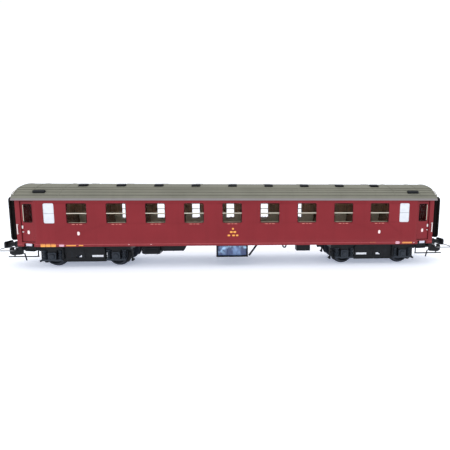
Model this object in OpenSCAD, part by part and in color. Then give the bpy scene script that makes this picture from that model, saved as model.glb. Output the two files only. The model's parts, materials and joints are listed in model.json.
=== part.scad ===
// Four-axle compartment coach, 1:87 model with loop couplers.
// +X runs along the coach, -Y is the compartment side, +Y the corridor side, Z = 0 is under the flanges.

/* [Body] */
// Number of compartments
compartments = 9; // [7:1:11]
// Length of one compartment, wall centre to wall centre
compartment_pitch = 20.84; // [17.4:0.02:25.1]
// Length of the toilet bay at each end of the compartments
toilet_length = 10.62; // [9.6:0.02:13]
// Length of each tapered end, which holds the entrance doors
vestibule_length = 12.1; // [11.5:0.1:15]
// How far each side is drawn in at the end wall
end_taper = 2.4; // [1:0.1:4]
// Width over the straight sides
body_width = 34; // [28:0.5:41]
// Height of a side, from its bottom edge to the eave
side_height = 25.2; // [20.4:0.05:30.2]
// Thickness of the sides and the end walls
wall = 1.2; // [0.9:0.1:1.6]

/* [Windows] */
// Width of a compartment window
window_width = 10.6; // [8.8:0.1:12.8]
// Height of the windows on the compartment side
window_height = 10.8; // [8.6:0.1:12.3]
// Width of a toilet window
toilet_window_width = 5.6; // [4:0.1:6]
// Width of a window on the corridor side
corridor_window_width = 11.2; // [9.3:0.1:13.5]
// Height of a window on the corridor side
corridor_window_height = 11.8; // [9.8:0.1:14.2]
// How much further apart the windows on the corridor side stand
corridor_window_spread = 1.46; // [0:0.02:1.6]
// Corner radius of the windows
window_corner = 0.8; // [0.5:0.1:1.2]
// Distance from the top of the windows to the eave
window_top_gap = 1.6; // [0.8:0.1:2]
// Thickness of the panes
pane_thickness = 0.6; // [0.4:0.1:0.8]
// Height of the bright rail across a compartment window
rail_height = 0.5; // [0.3:0.05:0.8]

/* [Doors] */
// Width of an entrance door opening
door_width = 8.2; // [7:0.1:9]
// Distance from the start of the taper to the door opening
door_offset = 1.3; // [1:0.1:2]
// Width of an entrance door window
door_window_width = 5.3; // [4:0.1:6]
// How far an entrance door is set back from the side
door_recess = 0.5; // [0.3:0.05:0.6]
// Width of the gangway door opening
end_door_width = 8.6; // [7:0.1:10]

/* [Roof] */
// Rise of the roof from the eave to the ridge
roof_rise = 8.8; // [8:0.1:11]
// Radius of the roof shoulders
shoulder_radius = 5.75; // [4.5:0.05:6.5]
// Thickness of the roof shell
roof_thickness = 1.2; // [0.9:0.1:1.6]
// How far the roof stands out past the sides
eave_overhang = 0.2; // [0.1:0.05:0.5]
// Length of a roof ventilator over a compartment
vent_length = 4.9; // [3:0.1:6]
// Angle of those ventilators from the ridge, about the centre of the crown arc
vent_angle = 15.5; // [8:0.5:20]

/* [Running gear] */
// Radius of a wheel at its tread
tread_radius = 5.5; // [4.6:0.1:6.6]
// Height of a wheel flange
flange_height = 1.1; // [0.9:0.05:1.3]
// Distance between the backs of the two wheels of an axle
back_to_back = 14.4; // [14.3:0.05:14.6]
// Width of a wheel
wheel_width = 2.8; // [2.2:0.1:3]
// Radius of an axle
axle_radius = 1.0; // [0.8:0.05:1.2]
// Distance between the two axles of a bogie
wheelbase = 34.6; // [30:0.2:41.6]
// Distance from the end wall to the bogie pivot
pivot_inset = 34; // [30:0.5:40.8]
// Distance between the inner faces of a bogie's side frames
frame_spacing = 22.8; // [21.5:0.1:24]
// Thickness of a bogie side frame
frame_thickness = 1.2; // [1:0.1:1.6]

/* [Ends] */
// Distance from the end wall to the buffer faces
buffer_length = 8.5; // [7:0.1:10.2]
// Distance between the two buffers of an end
buffer_spacing = 20; // [18:0.1:20.5]
// Depth of the gangway rings in front of the end wall
gangway_depth = 8; // [6:0.1:9.6]
// Width of the gangway rings
gangway_width = 16; // [14:0.1:17]
// Distance from the end wall back to the coupler pivot
coupler_pivot_inset = 3; // [2.5:0.1:4]
// Distance from the coupler pivot to the front of its hook
coupler_reach = 17.5; // [15:0.1:21]
// Width of the coupler loop
loop_width = 9.6; // [8:0.1:11]

/* [Fits] */
// Gap round panes and doors in their openings
panel_gap = 0.04; // [0.02:0.01:0.1]
// Radial clearance of the turning pins and journals
pin_clearance = 0.06; // [0.02:0.01:0.1]
// Gap between pieces that stand or turn on each other
seat_gap = 0.1; // [0.05:0.01:0.2]
// Height of the floor above the wheel flanges
wheel_clearance = 1.2; // [0.8:0.1:2]

/* [Hidden] */
$fn = 32;
EPS = 0.5; // how far a cutter runs past the face that it cuts

// Lengths along X, all from the centre of the coach
straight_half = compartments * compartment_pitch / 2 + toilet_length;
end_x = straight_half + vestibule_length;
pivot_x = end_x - pivot_inset;
buffer_x = end_x + buffer_length;
coupler_x = end_x - coupler_pivot_inset;
window_xs = [for (i = [0 : compartments - 1]) (i - (compartments - 1) / 2) * compartment_pitch];
corridor_window_xs = [for (x = window_xs) x * (compartment_pitch + corridor_window_spread) / compartment_pitch];
partition_xs = [for (i = [0 : compartments]) (i - compartments / 2) * compartment_pitch];
toilet_window_x = straight_half - 6.6;
corridor_toilet_window_x = straight_half - 4;

// Widths along Y
half_width = body_width / 2;
taper_angle = atan(end_taper / vestibule_length);
inner_half = half_width - wall;
inner_end_half = half_width - end_taper - wall / cos(taper_angle);
corridor_y = 2;

// Heights along Z, all from the flanges up
axle_z = tread_radius + flange_height;
floor_z = 2 * axle_z + wheel_clearance;
body_z = floor_z - 1.6;
eave_z = body_z + side_height;
ridge_z = eave_z + roof_rise;
window_z = eave_z - window_top_gap - window_height;
chassis_thickness = 1;
ballast_thickness = 1;
cabin_floor_thickness = 0.6;
cabin_z = floor_z + chassis_thickness + ballast_thickness + cabin_floor_thickness;
end_wall_z = body_z + 2.85;
door_z = body_z + 2.45;
door_top_gap = 0.6;
coupler_z = floor_z - 5.7;

RED = [0.50, 0.14, 0.17];
ROOF_GREY = [0.52, 0.51, 0.47];
BLACK = [0.11, 0.12, 0.13];
STEEL = [0.62, 0.63, 0.64];
SILVER = [0.80, 0.80, 0.76];
CLEAR = [0.75, 0.82, 0.85, 0.4];
FROSTED = [0.93, 0.95, 0.97];
WHITE = [0.92, 0.90, 0.88];
BROWN = [0.27, 0.19, 0.13];
BEIGE = [0.52, 0.49, 0.42];
BLUE_GREY = [0.35, 0.45, 0.60];

// ---- helpers -------------------------------------------------------------

// A box from one corner to the opposite one
module block(low, high) {
    translate(low) cube(high - low);
}

// A rectangle round the origin with true round corners
module rounded_rect(w, h, r) {
    square([w - 2 * r, h], center = true);
    square([w, h - 2 * r], center = true);
    for (x = [-1, 1], y = [-1, 1]) translate([x * (w / 2 - r), y * (h / 2 - r)]) circle(r);
}

// Extrudes an outline drawn in (X, Z) along +Y, from y
module along_y(y, length) {
    translate([0, y + length, 0]) rotate([90, 0, 0]) linear_extrude(length) children();
}

// Extrudes an outline drawn in (Y, Z) along +X, from x
module along_x(x, length) {
    translate([x, 0, 0]) rotate([90, 0, 90]) linear_extrude(length) children();
}

// A round bar from one point to another
module bar(from, to, r) {
    d = to - from;
    length = norm(d);
    translate(from) rotate([0, acos(d.z / length), atan2(d.y, d.x)]) cylinder(h = length, r = r);
}

module both_ends() {
    for (m = [0, 1]) mirror([m, 0, 0]) children();
}

module both_sides() {
    for (m = [0, 1]) mirror([0, m, 0]) children();
}

// The plan of one side, with its outer face `inset` inside the real one and `depth` thick
module side_plan(inset, depth) {
    function corner(t) = straight_half - t * tan(taper_angle / 2);
    function end_y(t) = half_width - end_taper - t / cos(taper_angle);
    back = inset + depth;
    polygon([
        [-end_x, -end_y(inset)], [-corner(inset), inset - half_width],
        [corner(inset), inset - half_width], [end_x, -end_y(inset)],
        [end_x, -end_y(back)], [corner(back), back - half_width],
        [-corner(back), back - half_width], [-end_x, -end_y(back)]
    ]);
}

// The plan of everything inside the sides, from end to end
module cabin_plan(inset, end) {
    slope = tan(taper_angle);
    y = half_width - inset;
    x = straight_half - inset * tan(taper_angle / 2);
    y_end = y - (end - x) * slope;
    polygon([[-end, -y_end], [-x, -y], [x, -y], [end, -y_end], [end, y_end], [x, y], [-x, y], [-end, y_end]]);
}

// Moves to the tapered part on the near side, X along it and Y = 0 on its outer face
module at_near_doors() {
    both_ends() translate([straight_half, -half_width, 0]) rotate(taper_angle) children();
}

// Radius of the flatter arc that meets a roof's shoulder arcs and its ridge
function crown_radius(w, rise, r) = ((w - r) * (w - r) + rise * rise - r * r) / (2 * (rise - r));

// The profile of a roof as points: a shoulder arc, the crown arc over the ridge and a shoulder arc
function roof_arch(w, rise, r) =
    let (
        big = crown_radius(w, rise, r),
        meet = asin((w - r) / (big - r)),
        shoulder = [for (i = [0 : 9]) let (a = i / 9 * (90 - meet)) [w - r + r * cos(a), r * sin(a)]],
        crown = [for (i = [1 : 10]) let (a = meet * (1 - i / 10)) [big * sin(a), rise - big + big * cos(a)]],
        half = concat(shoulder, crown)
    )
    concat(half, [for (i = [len(half) - 2 : -1 : 0]) [-half[i].x, half[i].y]]);

// ---- body shell ----------------------------------------------------------

// Where the large windows of one side are, and their outline
module at_large_windows(far) {
    height = far ? corridor_window_height : window_height;
    for (x = far ? corridor_window_xs : window_xs)
        translate([x, eave_z - window_top_gap - height / 2]) children();
}

module large_window(far, shrink) {
    width = far ? corridor_window_width : window_width;
    height = far ? corridor_window_height : window_height;
    rounded_rect(width - 2 * shrink, height - 2 * shrink, window_corner);
}

// Where the toilet windows of one side are, and their outline
module at_toilet_windows(far) {
    x = far ? corridor_toilet_window_x : toilet_window_x;
    for (s = [-1, 1]) translate([s * x, window_z + window_height / 2]) children();
}

module toilet_window(shrink) {
    rounded_rect(toilet_window_width - 2 * shrink, window_height - 2 * shrink, window_corner);
}

door_window_x = door_offset + door_width / 2;
door_window_z = window_z + 0.5 + (window_height - 1) / 2;

module door_window(shrink) {
    translate([door_window_x, door_window_z])
        rounded_rect(door_window_width - 2 * shrink, window_height - 1 - 2 * shrink, window_corner);
}

step_notch_inset = 1;
step_notch_height = 1.8;

module side(far) {
    color(RED) mirror([0, far ? 1 : 0, 0]) difference() {
        translate([0, 0, body_z]) linear_extrude(side_height) side_plan(0, wall);
        along_y(-half_width - EPS, wall + 2 * EPS) {
            at_large_windows(far) large_window(far, 0);
            at_toilet_windows(far) toilet_window(0);
        }
        at_near_doors() {
            block(
                [door_offset, -EPS, door_z],
                [door_offset + door_width, wall + EPS, eave_z - door_top_gap]);
            block(
                [door_offset + step_notch_inset, -EPS, body_z - EPS],
                [door_offset + door_width - step_notch_inset, wall + EPS, body_z + step_notch_height]);
        }
    }
}

module door_pair() {
    at_near_doors() difference() {
        block(
            [door_offset + panel_gap, door_recess, door_z + panel_gap],
            [door_offset + door_width - panel_gap, wall, eave_z - door_top_gap - panel_gap]);
        along_y(-EPS, wall + 2 * EPS) door_window(0);
    }
}

module doors_near() {
    color(RED) door_pair();
}

module doors_far() {
    color(RED) mirror([0, 1, 0]) door_pair();
}

end_door_z = end_wall_z + 1.2;
end_door_height = 19.4;

module end_wall(s) {
    half = inner_end_half - seat_gap;
    arch = roof_arch(inner_half - seat_gap, roof_rise - roof_thickness, shoulder_radius - roof_thickness);
    x = s > 0 ? end_x - wall : -end_x;
    color(RED) difference() {
        along_x(x, wall) intersection() {
            union() {
                translate([-half_width, end_wall_z]) square([body_width, eave_z - end_wall_z]);
                translate([0, eave_z - 2 * seat_gap]) polygon(arch);
            }
            translate([-half, end_wall_z]) square([2 * half, side_height + roof_rise]);
        }
        block(
            [x - EPS, -end_door_width / 2, end_door_z],
            [x + wall + EPS, end_door_width / 2, end_door_z + end_door_height]);
    }
}

module end_doors() {
    half = end_door_width / 2 - panel_gap;
    color(RED) both_ends() difference() {
        block(
            [end_x - wall, -half, end_door_z + panel_gap],
            [end_x - 0.4, half, end_door_z + end_door_height - panel_gap]);
        along_x(end_x - wall - EPS, wall + 2 * EPS)
            translate([0, end_door_z + end_door_height - 6]) rounded_rect(4.6, 7, window_corner);
    }
}

gutter_width = 0.25;
gutter_height = 0.6;
cavity_gap = 0.1;

module roof() {
    w = half_width + eave_overhang;
    cavity_radius = shoulder_radius - roof_thickness;
    color(ROOF_GREY) difference() {
        along_x(-end_x, 2 * end_x) translate([0, eave_z]) {
            polygon(roof_arch(w, roof_rise, shoulder_radius));
            translate([-w - gutter_width, 0]) square([2 * (w + gutter_width), gutter_height]);
        }
        intersection() {
            along_x(-end_x - EPS, 2 * (end_x + EPS)) translate([0, eave_z]) {
                polygon(roof_arch(inner_half - cavity_gap, roof_rise - roof_thickness, cavity_radius));
                translate([cavity_gap - inner_half, -EPS]) square([2 * (inner_half - cavity_gap), 2 * EPS]);
            }
            translate([0, 0, eave_z - EPS])
                linear_extrude(roof_rise) cabin_plan(wall, end_x + EPS);
        }
    }
}

vent_width = 3;
vent_height = 0.9;
end_vent_length = 6.4;
end_vent_width = 1.8;
end_vent_x = end_x - 13.7;
end_vent_angle = 32; // from the vertical, about the centre of the crown arc

module vent(length, width, height) {
    along_x(-length / 2, length) polygon([
        [-width / 2, 0], [width / 2, 0], [width / 2, height * 0.6],
        [width / 2 - height * 0.4, height], [height * 0.4 - width / 2, height], [-width / 2, height * 0.6]
    ]);
}

module roof_vents() {
    crown = crown_radius(half_width + eave_overhang, roof_rise, shoulder_radius);
    color(BLACK) {
        both_sides() translate([0, 0, ridge_z - crown]) {
            rotate([vent_angle, 0, 0]) for (x = window_xs)
                translate([x, 0, crown]) vent(vent_length, vent_width, vent_height);
            rotate([end_vent_angle, 0, 0]) for (s = [-1, 1])
                translate([s * end_vent_x, 0, crown]) vent(end_vent_length, end_vent_width, vent_height);
        }
    }
}

pane_set_back = 0.25;

module glazing(far) {
    color(CLEAR) mirror([0, far ? 1 : 0, 0]) {
        along_y(pane_set_back - half_width, pane_thickness) at_large_windows(far) large_window(far, panel_gap);
        at_near_doors() along_y(door_recess + 0.1, pane_thickness / 2) door_window(panel_gap);
    }
}

module frosted_panes() {
    color(FROSTED) for (far = [false, true]) mirror([0, far ? 1 : 0, 0])
        along_y(pane_set_back - half_width, pane_thickness) at_toilet_windows(far) toilet_window(panel_gap);
}

module window_rails() {
    color(SILVER) for (far = [false, true]) mirror([0, far ? 1 : 0, 0])
        along_y(-half_width, pane_set_back) at_large_windows(far)
            square([(far ? corridor_window_width : window_width) - 2 * panel_gap, rail_height], center = true);
}

// ---- chassis and inside --------------------------------------------------

pivot_pin_radius = 1.5;
pivot_boss_radius = 3.6;
bolster_top_z = axle_z + 6;
coupler_pin_radius = 0.8;
coupler_top_z = coupler_z + 1.1;
coupler_low_z = coupler_z - 1.1;

module chassis() {
    color(BLACK) difference() {
        translate([0, 0, floor_z]) linear_extrude(chassis_thickness)
            cabin_plan(wall + seat_gap, end_x - wall - seat_gap);
        both_ends() translate([pivot_x, 0, floor_z - EPS])
            cylinder(h = chassis_thickness + 2 * EPS, r = pivot_pin_radius + pin_clearance);
    }
}

module pivot_bosses() {
    z = bolster_top_z + seat_gap;
    color(BLACK) both_ends() translate([pivot_x, 0, z]) linear_extrude(floor_z - z) difference() {
        circle(pivot_boss_radius);
        circle(pivot_pin_radius + pin_clearance);
    }
}

module coupler_posts() {
    top = coupler_top_z + seat_gap;
    low = coupler_low_z - seat_gap;
    color(BLACK) both_ends() translate([coupler_x, 0, 0]) {
        translate([0, 0, top]) cylinder(h = floor_z - top, r = 1.7);
        translate([0, 0, low]) cylinder(h = top - low, r = coupler_pin_radius);
        translate([0, 0, low - 0.5]) cylinder(h = 0.5, r = 1.2);
    }
}

headstock_low = 2.2;
headstock_depth = 2.1;
gangway_z = body_z + 1.9;

// The gangway ring stands in a recess in each headstock's face
module headstocks() {
    half = inner_end_half - 2 * seat_gap;
    recess = gangway_width / 2 + seat_gap;
    color(BLACK) both_ends() difference() {
        block(
            [end_x - wall + seat_gap, -half, body_z - headstock_low],
            [end_x - wall + headstock_depth, half, end_wall_z - seat_gap]);
        block([end_x, -recess, gangway_z - seat_gap], [end_x + headstock_depth, recess, end_wall_z]);
    }
}

buffer_z = body_z + 0.4;
buffer_head = [1.3, 6, 3.7];
buffer_shank_radius = 1.2;
buffer_sleeve_radius = 1.6;

module buffers() {
    face = end_x - wall + headstock_depth;
    color(BLACK) both_ends() both_sides() translate([0, buffer_spacing / 2, buffer_z]) {
        along_x(face, 3) circle(buffer_sleeve_radius);
        along_x(face + 3, buffer_x - face - 3) circle(buffer_shank_radius);
        along_x(buffer_x - buffer_head.x, buffer_head.x) rounded_rect(buffer_head.y, buffer_head.z, 0.9);
    }
}

gangway_height = 24.8;
gangway_wall = 2;
gangway_corner = 2.2;

module gangway(s) {
    color(BLACK) mirror([s > 0 ? 0 : 1, 0, 0]) translate([0, 0, gangway_z + gangway_height / 2]) difference() {
        along_x(end_x, gangway_depth) rounded_rect(gangway_width, gangway_height, gangway_corner);
        along_x(end_x - EPS, gangway_depth + 2 * EPS)
            rounded_rect(gangway_width - 2 * gangway_wall, gangway_height - 2 * gangway_wall, 1);
    }
}

module cabin_floor() {
    color(BEIGE) translate([0, 0, cabin_z - cabin_floor_thickness]) linear_extrude(cabin_floor_thickness)
        cabin_plan(wall + seat_gap, end_x - wall - seat_gap);
}

ballast_half = [pivot_x - 12, 10, 0];

module ballast_weight() {
    color(STEEL) translate([0, 0, floor_z + chassis_thickness])
        block([-ballast_half.x, -ballast_half.y, 0], [ballast_half.x, ballast_half.y, ballast_thickness]);
}

partition = 0.8;
corridor_wall_thickness = 1;
corridor_door_width = 4.5;
corridor_door_shift = -1.7; // from the middle of its compartment
corridor_door_z = window_z + 0.3;
compartment_near_y = pane_thickness + pane_set_back + 0.5 - half_width;
compartment_far_y = corridor_y - corridor_wall_thickness / 2;

module compartment_walls() {
    bulkhead_x = straight_half - partition;
    color(BROWN) {
        for (x = partition_xs) block(
            [x - partition / 2, compartment_near_y, cabin_z],
            [x + partition / 2, compartment_far_y, eave_z - seat_gap]);
        both_ends() block(
            [bulkhead_x, compartment_near_y, cabin_z],
            [bulkhead_x + partition, compartment_far_y, eave_z - seat_gap]);
    }
}

module corridor_wall() {
    color(BEIGE) difference() {
        block(
            [-straight_half, compartment_far_y, cabin_z],
            [straight_half, compartment_far_y + corridor_wall_thickness, eave_z - seat_gap]);
        for (x = window_xs) block(
            [x + corridor_door_shift - corridor_door_width / 2, compartment_far_y - EPS, corridor_door_z],
            [x + corridor_door_shift + corridor_door_width / 2, corridor_y + wall, eave_z - 1.2]);
    }
}

// The outline of a bench, X away from the partition behind it and Y up from the floor
bench_outline = [[0.05, 0], [5, 0], [5.6, 4.6], [5.3, 5.2], [2.7, 4.9], [1.6, 12.4], [0.7, 13], [0.05, 12.8]];

module seats() {
    color(BROWN) for (x = window_xs, s = [-1, 1])
        translate([x + s * (compartment_pitch - partition) / 2, 0, cabin_z])
            along_y(compartment_near_y + 0.2, compartment_far_y - compartment_near_y - 0.3)
                polygon([for (p = bench_outline) [-s * p.x, p.y]]);
}

// ---- under the floor -----------------------------------------------------

box_front = half_width - 2;
under_top = floor_z;

battery_x = [-9.1, 8.7];
battery_z = floor_z - 8.6;

module battery_box() {
    face = 0.35;
    rim = 0.8;
    color(BLUE_GREY) both_sides() difference() {
        block([battery_x[0], -box_front, battery_z], [battery_x[1], -box_front + 7, under_top]);
        block(
            [battery_x[0] + rim, -box_front - EPS, battery_z + rim],
            [battery_x[1] - rim, -box_front + face, under_top - 2.2]);
    }
}

ribbed_length = 9.2;
ribbed_x = -(pivot_x - 32.3);
ribbed_z = floor_z - 7;

module ribbed_box() {
    groove = 0.45;
    y = 4 - box_front;
    color(BLACK) difference() {
        block([ribbed_x, y - 2, ribbed_z], [ribbed_x + ribbed_length, y + 6, under_top]);
        for (i = [1 : 4]) block(
            [ribbed_x - EPS, y - 2 - EPS, ribbed_z + i * 1.2],
            [ribbed_x + ribbed_length + EPS, y - 2 + groove, ribbed_z + i * 1.2 + groove]);
    }
}

side_tank_length = 16;

module side_tank() {
    x = ribbed_x + ribbed_length;
    end = x + side_tank_length;
    bevel = 3;
    z = floor_z - 5.7;
    color(BLACK) along_y(4 - box_front, 4)
        polygon([[x, z], [end - bevel, z], [end, under_top], [x, under_top]]);
}

equipment_length = 8;
equipment_x = pivot_x - 45.5;

module equipment_box() {
    color(BLACK) block(
        [equipment_x, 3 - box_front, floor_z - 6], [equipment_x + equipment_length, 8 - box_front, under_top]);
}

brake_cylinder_x = pivot_x - 29.4;
brake_cylinder_y = -6;
brake_cylinder_z = floor_z - 4;

module brake_cylinders() {
    color(BLACK) both_ends() translate([brake_cylinder_x, brake_cylinder_y, brake_cylinder_z]) {
        along_x(-2.8, 2.8) circle(1.3);
        along_x(0, 1.4) circle(0.5);
        block([-2.1, -0.5, 0], [-0.7, 0.5, floor_z - brake_cylinder_z]);
    }
}

module battery_stay() {
    y = 1 - box_front;
    r = 0.55;
    low = [battery_x[1] + r + 0.1, y, battery_z + 0.7];
    color(BLACK) bar(low, [low.x + 5.4, y, under_top - 0.5], r);
}

ring_x = equipment_x - 7.4;

module lifting_rings() {
    ring = 0.9;
    wire = 0.4;
    z = floor_z - 2.5;
    color(BLACK) both_sides() translate([ring_x, 1 - box_front, z]) {
        rotate([90, 0, 0]) rotate_extrude() translate([ring, 0]) circle(wire, $fn = 16);
        translate([0, 0, ring]) cylinder(h = floor_z - z - ring, r = 0.35);
    }
}

step_depth = 1.7;
step_thickness = 0.45;

module steps() {
    low = body_z - 2.6;
    x = [door_offset + step_notch_inset + 0.3, door_offset + door_width - step_notch_inset - 0.3];
    hanger = 0.4;
    color(BLACK) both_sides() at_near_doors() {
        for (z = [low, body_z - 0.3]) block([x[0], 0.2, z], [x[1], 0.2 + step_depth, z + step_thickness]);
        for (h = [x[0], x[1] - hanger])
            block([h, wall + 0.3, low], [h + hanger, 0.2 + step_depth, floor_z]);
    }
}

handrail_radius = 0.22;
handrail_height = 5.5;
handrail_z = body_z + 6.85;

module handrails() {
    x = vestibule_length / cos(taper_angle) - 1.3;
    stand_off = -0.65;
    color(WHITE) both_sides() at_near_doors() {
        translate([x, stand_off, handrail_z]) cylinder(h = handrail_height, r = handrail_radius);
        for (z = [handrail_z + 0.4, handrail_z + handrail_height - 0.4])
            bar([x, stand_off, z], [x, 0, z], handrail_radius * 0.8);
    }
}

module door_handles() {
    x = door_offset + door_width - 0.9;
    color(WHITE) both_sides() at_near_doors() {
        block([x - 0.25, door_recess - 0.5, body_z + 9.85], [x + 0.25, door_recess, body_z + 11.45]);
        block([x - 0.5, door_recess - 0.3, body_z + 7.85], [x + 0.4, door_recess, body_z + 8.2]);
    }
}

// ---- bogies --------------------------------------------------------------

frame_half_length = 25.4;
frame_y = frame_spacing / 2;
beam_low = axle_z + 3.4;
beam_high = axle_z + 5.4;
middle_half = 11.6;
pedestal_half = 2.3;
journal_radius = 0.6;
slots = [[-4.7, -1.5], [3.6, 10.8]]; // start and end of each opening along the frame

// The outline of the left bogie's side frame; the right one is its mirror image
module side_frame_outline() {
    difference() {
        union() {
            translate([-frame_half_length, beam_low]) square([2 * frame_half_length, beam_high - beam_low]);
            translate([-middle_half, axle_z - 3.2]) square([2 * middle_half, beam_high - axle_z + 3.2]);
            for (s = [-1, 1]) translate([s * wheelbase / 2 - pedestal_half, axle_z - 2.6])
                square([2 * pedestal_half, beam_high - axle_z + 2.6]);
        }
        for (slot = slots) translate([slot[0], axle_z - 0.9]) square([slot[1] - slot[0], 1.4]);
        for (s = [-1, 1]) translate([s * wheelbase / 2, axle_z]) circle(journal_radius + pin_clearance);
    }
}

module bogie_frame(s) {
    color(BLACK) translate([s * pivot_x, 0, 0]) mirror([s > 0 ? 1 : 0, 0, 0]) {
        both_sides() along_y(frame_y, frame_thickness) side_frame_outline();
        for (x = [-8, 8]) block([x - 1.5, -frame_y, axle_z + 1.6], [x + 1.5, frame_y, axle_z + 3.8]);
        for (x = [-1, 1]) block(
            [x * (frame_half_length - 0.6) - 0.6, -frame_y, beam_low],
            [x * (frame_half_length - 0.6) + 0.6, frame_y, beam_high - 0.4]);
        block([-8, -3.5, axle_z + 3], [8, 3.5, bolster_top_z]);
        translate([0, 0, bolster_top_z - EPS])
            cylinder(h = floor_z + chassis_thickness - bolster_top_z + EPS, r = pivot_pin_radius);
    }
}

spring_radius = 1.15;
spring_offset = 4.3;

module axleboxes(s) {
    outer = frame_y + frame_thickness;
    color(BLACK) translate([s * pivot_x, 0, 0]) both_sides() for (a = [-1, 1])
        translate([a * wheelbase / 2, 0, axle_z]) {
            along_y(outer, 0.8) rounded_rect(4.4, 4.6, 0.7);
            along_y(outer + 0.8, 0.6) circle(1.3);
            along_y(outer + 0.05, 0.7) translate([-spring_offset - 1.3, -2.6]) square([2 * spring_offset + 2.6, 0.9]);
            for (d = [-1, 1]) translate([d * spring_offset, frame_y + 0.95, -1.7])
                cylinder(h = beam_low - axle_z + 1.6, r = spring_radius);
        }
}

shoe_gap = 0.5;
shoe_thickness = 1.1;
brake_y = [8.2, 10];

module brake_gear(s) {
    beam_x = frame_half_length - 0.6;
    beam_z = axle_z - 3.2;
    color(BLACK) translate([s * pivot_x, 0, 0]) both_ends() {
        both_sides() {
            translate([wheelbase / 2, 0, axle_z]) along_y(brake_y[0], brake_y[1] - brake_y[0]) intersection() {
                difference() {
                    circle(tread_radius + shoe_gap + shoe_thickness);
                    circle(tread_radius + shoe_gap);
                }
                translate([0, -4.2]) square([tread_radius + shoe_gap + shoe_thickness, 5.6]);
            }
            block([beam_x - 0.3, 8.7, beam_z], [beam_x + 0.5, 9.5, beam_low - 0.05]);
        }
        both_sides() bar([beam_x + 0.5, 8, beam_z], [beam_x + 0.5, 10.4, beam_z], 0.6);
    }
}

// ---- wheelsets -----------------------------------------------------------

wheelset_xs = [for (b = [-1, 1], a = [-1, 1]) b * pivot_x + a * wheelbase / 2];
press_gap = 0.02;

module wheel() {
    r = tread_radius;
    f = tread_radius + flange_height;
    w = wheel_width;
    rotate_extrude() polygon([
        [axle_radius + press_gap, 0.2], [2.2, 0.2], [2.2, 1], [r - 0.9, 1], [r - 0.9, 0], [f - 0.4, 0],
        [f, 0.3], [f - 0.1, 0.6], [r + 0.25, 0.95], [r + 0.1, 1.2], [r, w], [r - 0.8, w],
        [r - 0.8, w - 0.9], [2.2, w - 0.9], [2.2, w - 0.2], [axle_radius + press_gap, w - 0.2]
    ]);
}

module wheels(i) {
    color(STEEL) translate([wheelset_xs[i], 0, axle_z]) both_sides()
        translate([0, back_to_back / 2, 0]) rotate([-90, 0, 0]) wheel();
}

module axle(i) {
    shoulder = frame_y - 0.3;
    tip = frame_y + frame_thickness - 0.2;
    color(STEEL) translate([wheelset_xs[i], 0, axle_z]) {
        along_y(-shoulder, 2 * shoulder) circle(axle_radius);
        along_y(-tip, 2 * tip) circle(journal_radius);
    }
}

// ---- couplers ------------------------------------------------------------

loop_pivot_x = coupler_x + coupler_reach - 4.7;
loop_pivot_z = coupler_z - 0.5;
loop_wire = 0.3;
loop_length = 10.7;

module right_coupler() {
    front = coupler_x + coupler_reach;
    lever_z = coupler_z - 5.1;
    trip_x = front - 7.6;
    lever_wire = 0.35;
    difference() {
        union() {
            block([coupler_x, -1.4, coupler_low_z], [front - 5.6, 1.4, coupler_top_z]);
            translate([coupler_x, 0, coupler_low_z]) cylinder(h = coupler_top_z - coupler_low_z, r = 1.6);
            along_y(-1.1, 2.2) polygon([
                [front - 6.5, coupler_z - 3.7], [front - 1.5, coupler_z - 4], [front, coupler_z - 3],
                [front, coupler_z + 0.2], [front - 1, coupler_z + 0.6], [front - 1.4, coupler_z - 1.3],
                [front - 2.8, coupler_z - 1.5], [front - 3.4, coupler_z + 0.2], [front - 6.5, coupler_z + 0.7]
            ]);
            bar([coupler_x + 2, 0, lever_z], [coupler_x + 2, 0, coupler_z], lever_wire);
            bar([coupler_x + 2 - lever_wire, 0, lever_z], [front + 1.5, 0, lever_z], lever_wire);
            bar([front - 2, 0, lever_z], [front - 2, 0, coupler_z - 3], lever_wire);
            bar([trip_x, 0, coupler_z - 3], [trip_x - 1, 0, lever_z - 2.4], lever_wire);
        }
        translate([coupler_x, 0, coupler_low_z - EPS])
            cylinder(h = coupler_top_z - coupler_low_z + 2 * EPS, r = coupler_pin_radius + pin_clearance);
        translate([loop_pivot_x, 0, loop_pivot_z])
            along_y(-2, 4) circle(loop_wire + pin_clearance);
    }
}

module coupler(s) {
    color(BLACK) mirror([s > 0 ? 0 : 1, 0, 0]) right_coupler();
}

module coupler_loop(s) {
    y = loop_width / 2;
    color(STEEL) mirror([s > 0 ? 0 : 1, 0, 0]) translate([loop_pivot_x, 0, loop_pivot_z]) {
        bar([0, -y, 0], [0, y, 0], loop_wire);
        bar([loop_length, -y, 0], [loop_length, y, 0], loop_wire);
        both_sides() {
            bar([0, y, 0], [loop_length, y, 0], loop_wire);
            for (x = [0, loop_length]) translate([x, y, 0]) sphere(loop_wire);
        }
    }
}

// ---- the coach -----------------------------------------------------------

side(false);  // side_near
side(true);  // side_far
end_wall(-1);  // end_wall_left
end_wall(1);  // end_wall_right
doors_near();
doors_far();
end_doors();
roof();
roof_vents();
glazing(false);  // glazing_near
glazing(true);  // glazing_far
frosted_panes();
window_rails();
chassis();
pivot_bosses();
coupler_posts();
headstocks();
buffers();
gangway(-1);  // gangway_left
gangway(1);  // gangway_right
cabin_floor();
ballast_weight();
compartment_walls();
corridor_wall();
seats();
battery_box();
ribbed_box();
side_tank();
equipment_box();
brake_cylinders();
battery_stay();
lifting_rings();
steps();
handrails();
door_handles();
bogie_frame(-1);  // bogie_frame_left
bogie_frame(1);  // bogie_frame_right
axleboxes(-1);  // axleboxes_left
axleboxes(1);  // axleboxes_right
brake_gear(-1);  // brake_gear_left
brake_gear(1);  // brake_gear_right
wheels(0);  // wheels_1
wheels(1);  // wheels_2
wheels(2);  // wheels_3
wheels(3);  // wheels_4
axle(0);  // axle_1
axle(1);  // axle_2
axle(2);  // axle_3
axle(3);  // axle_4
coupler(-1);  // coupler_left
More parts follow.
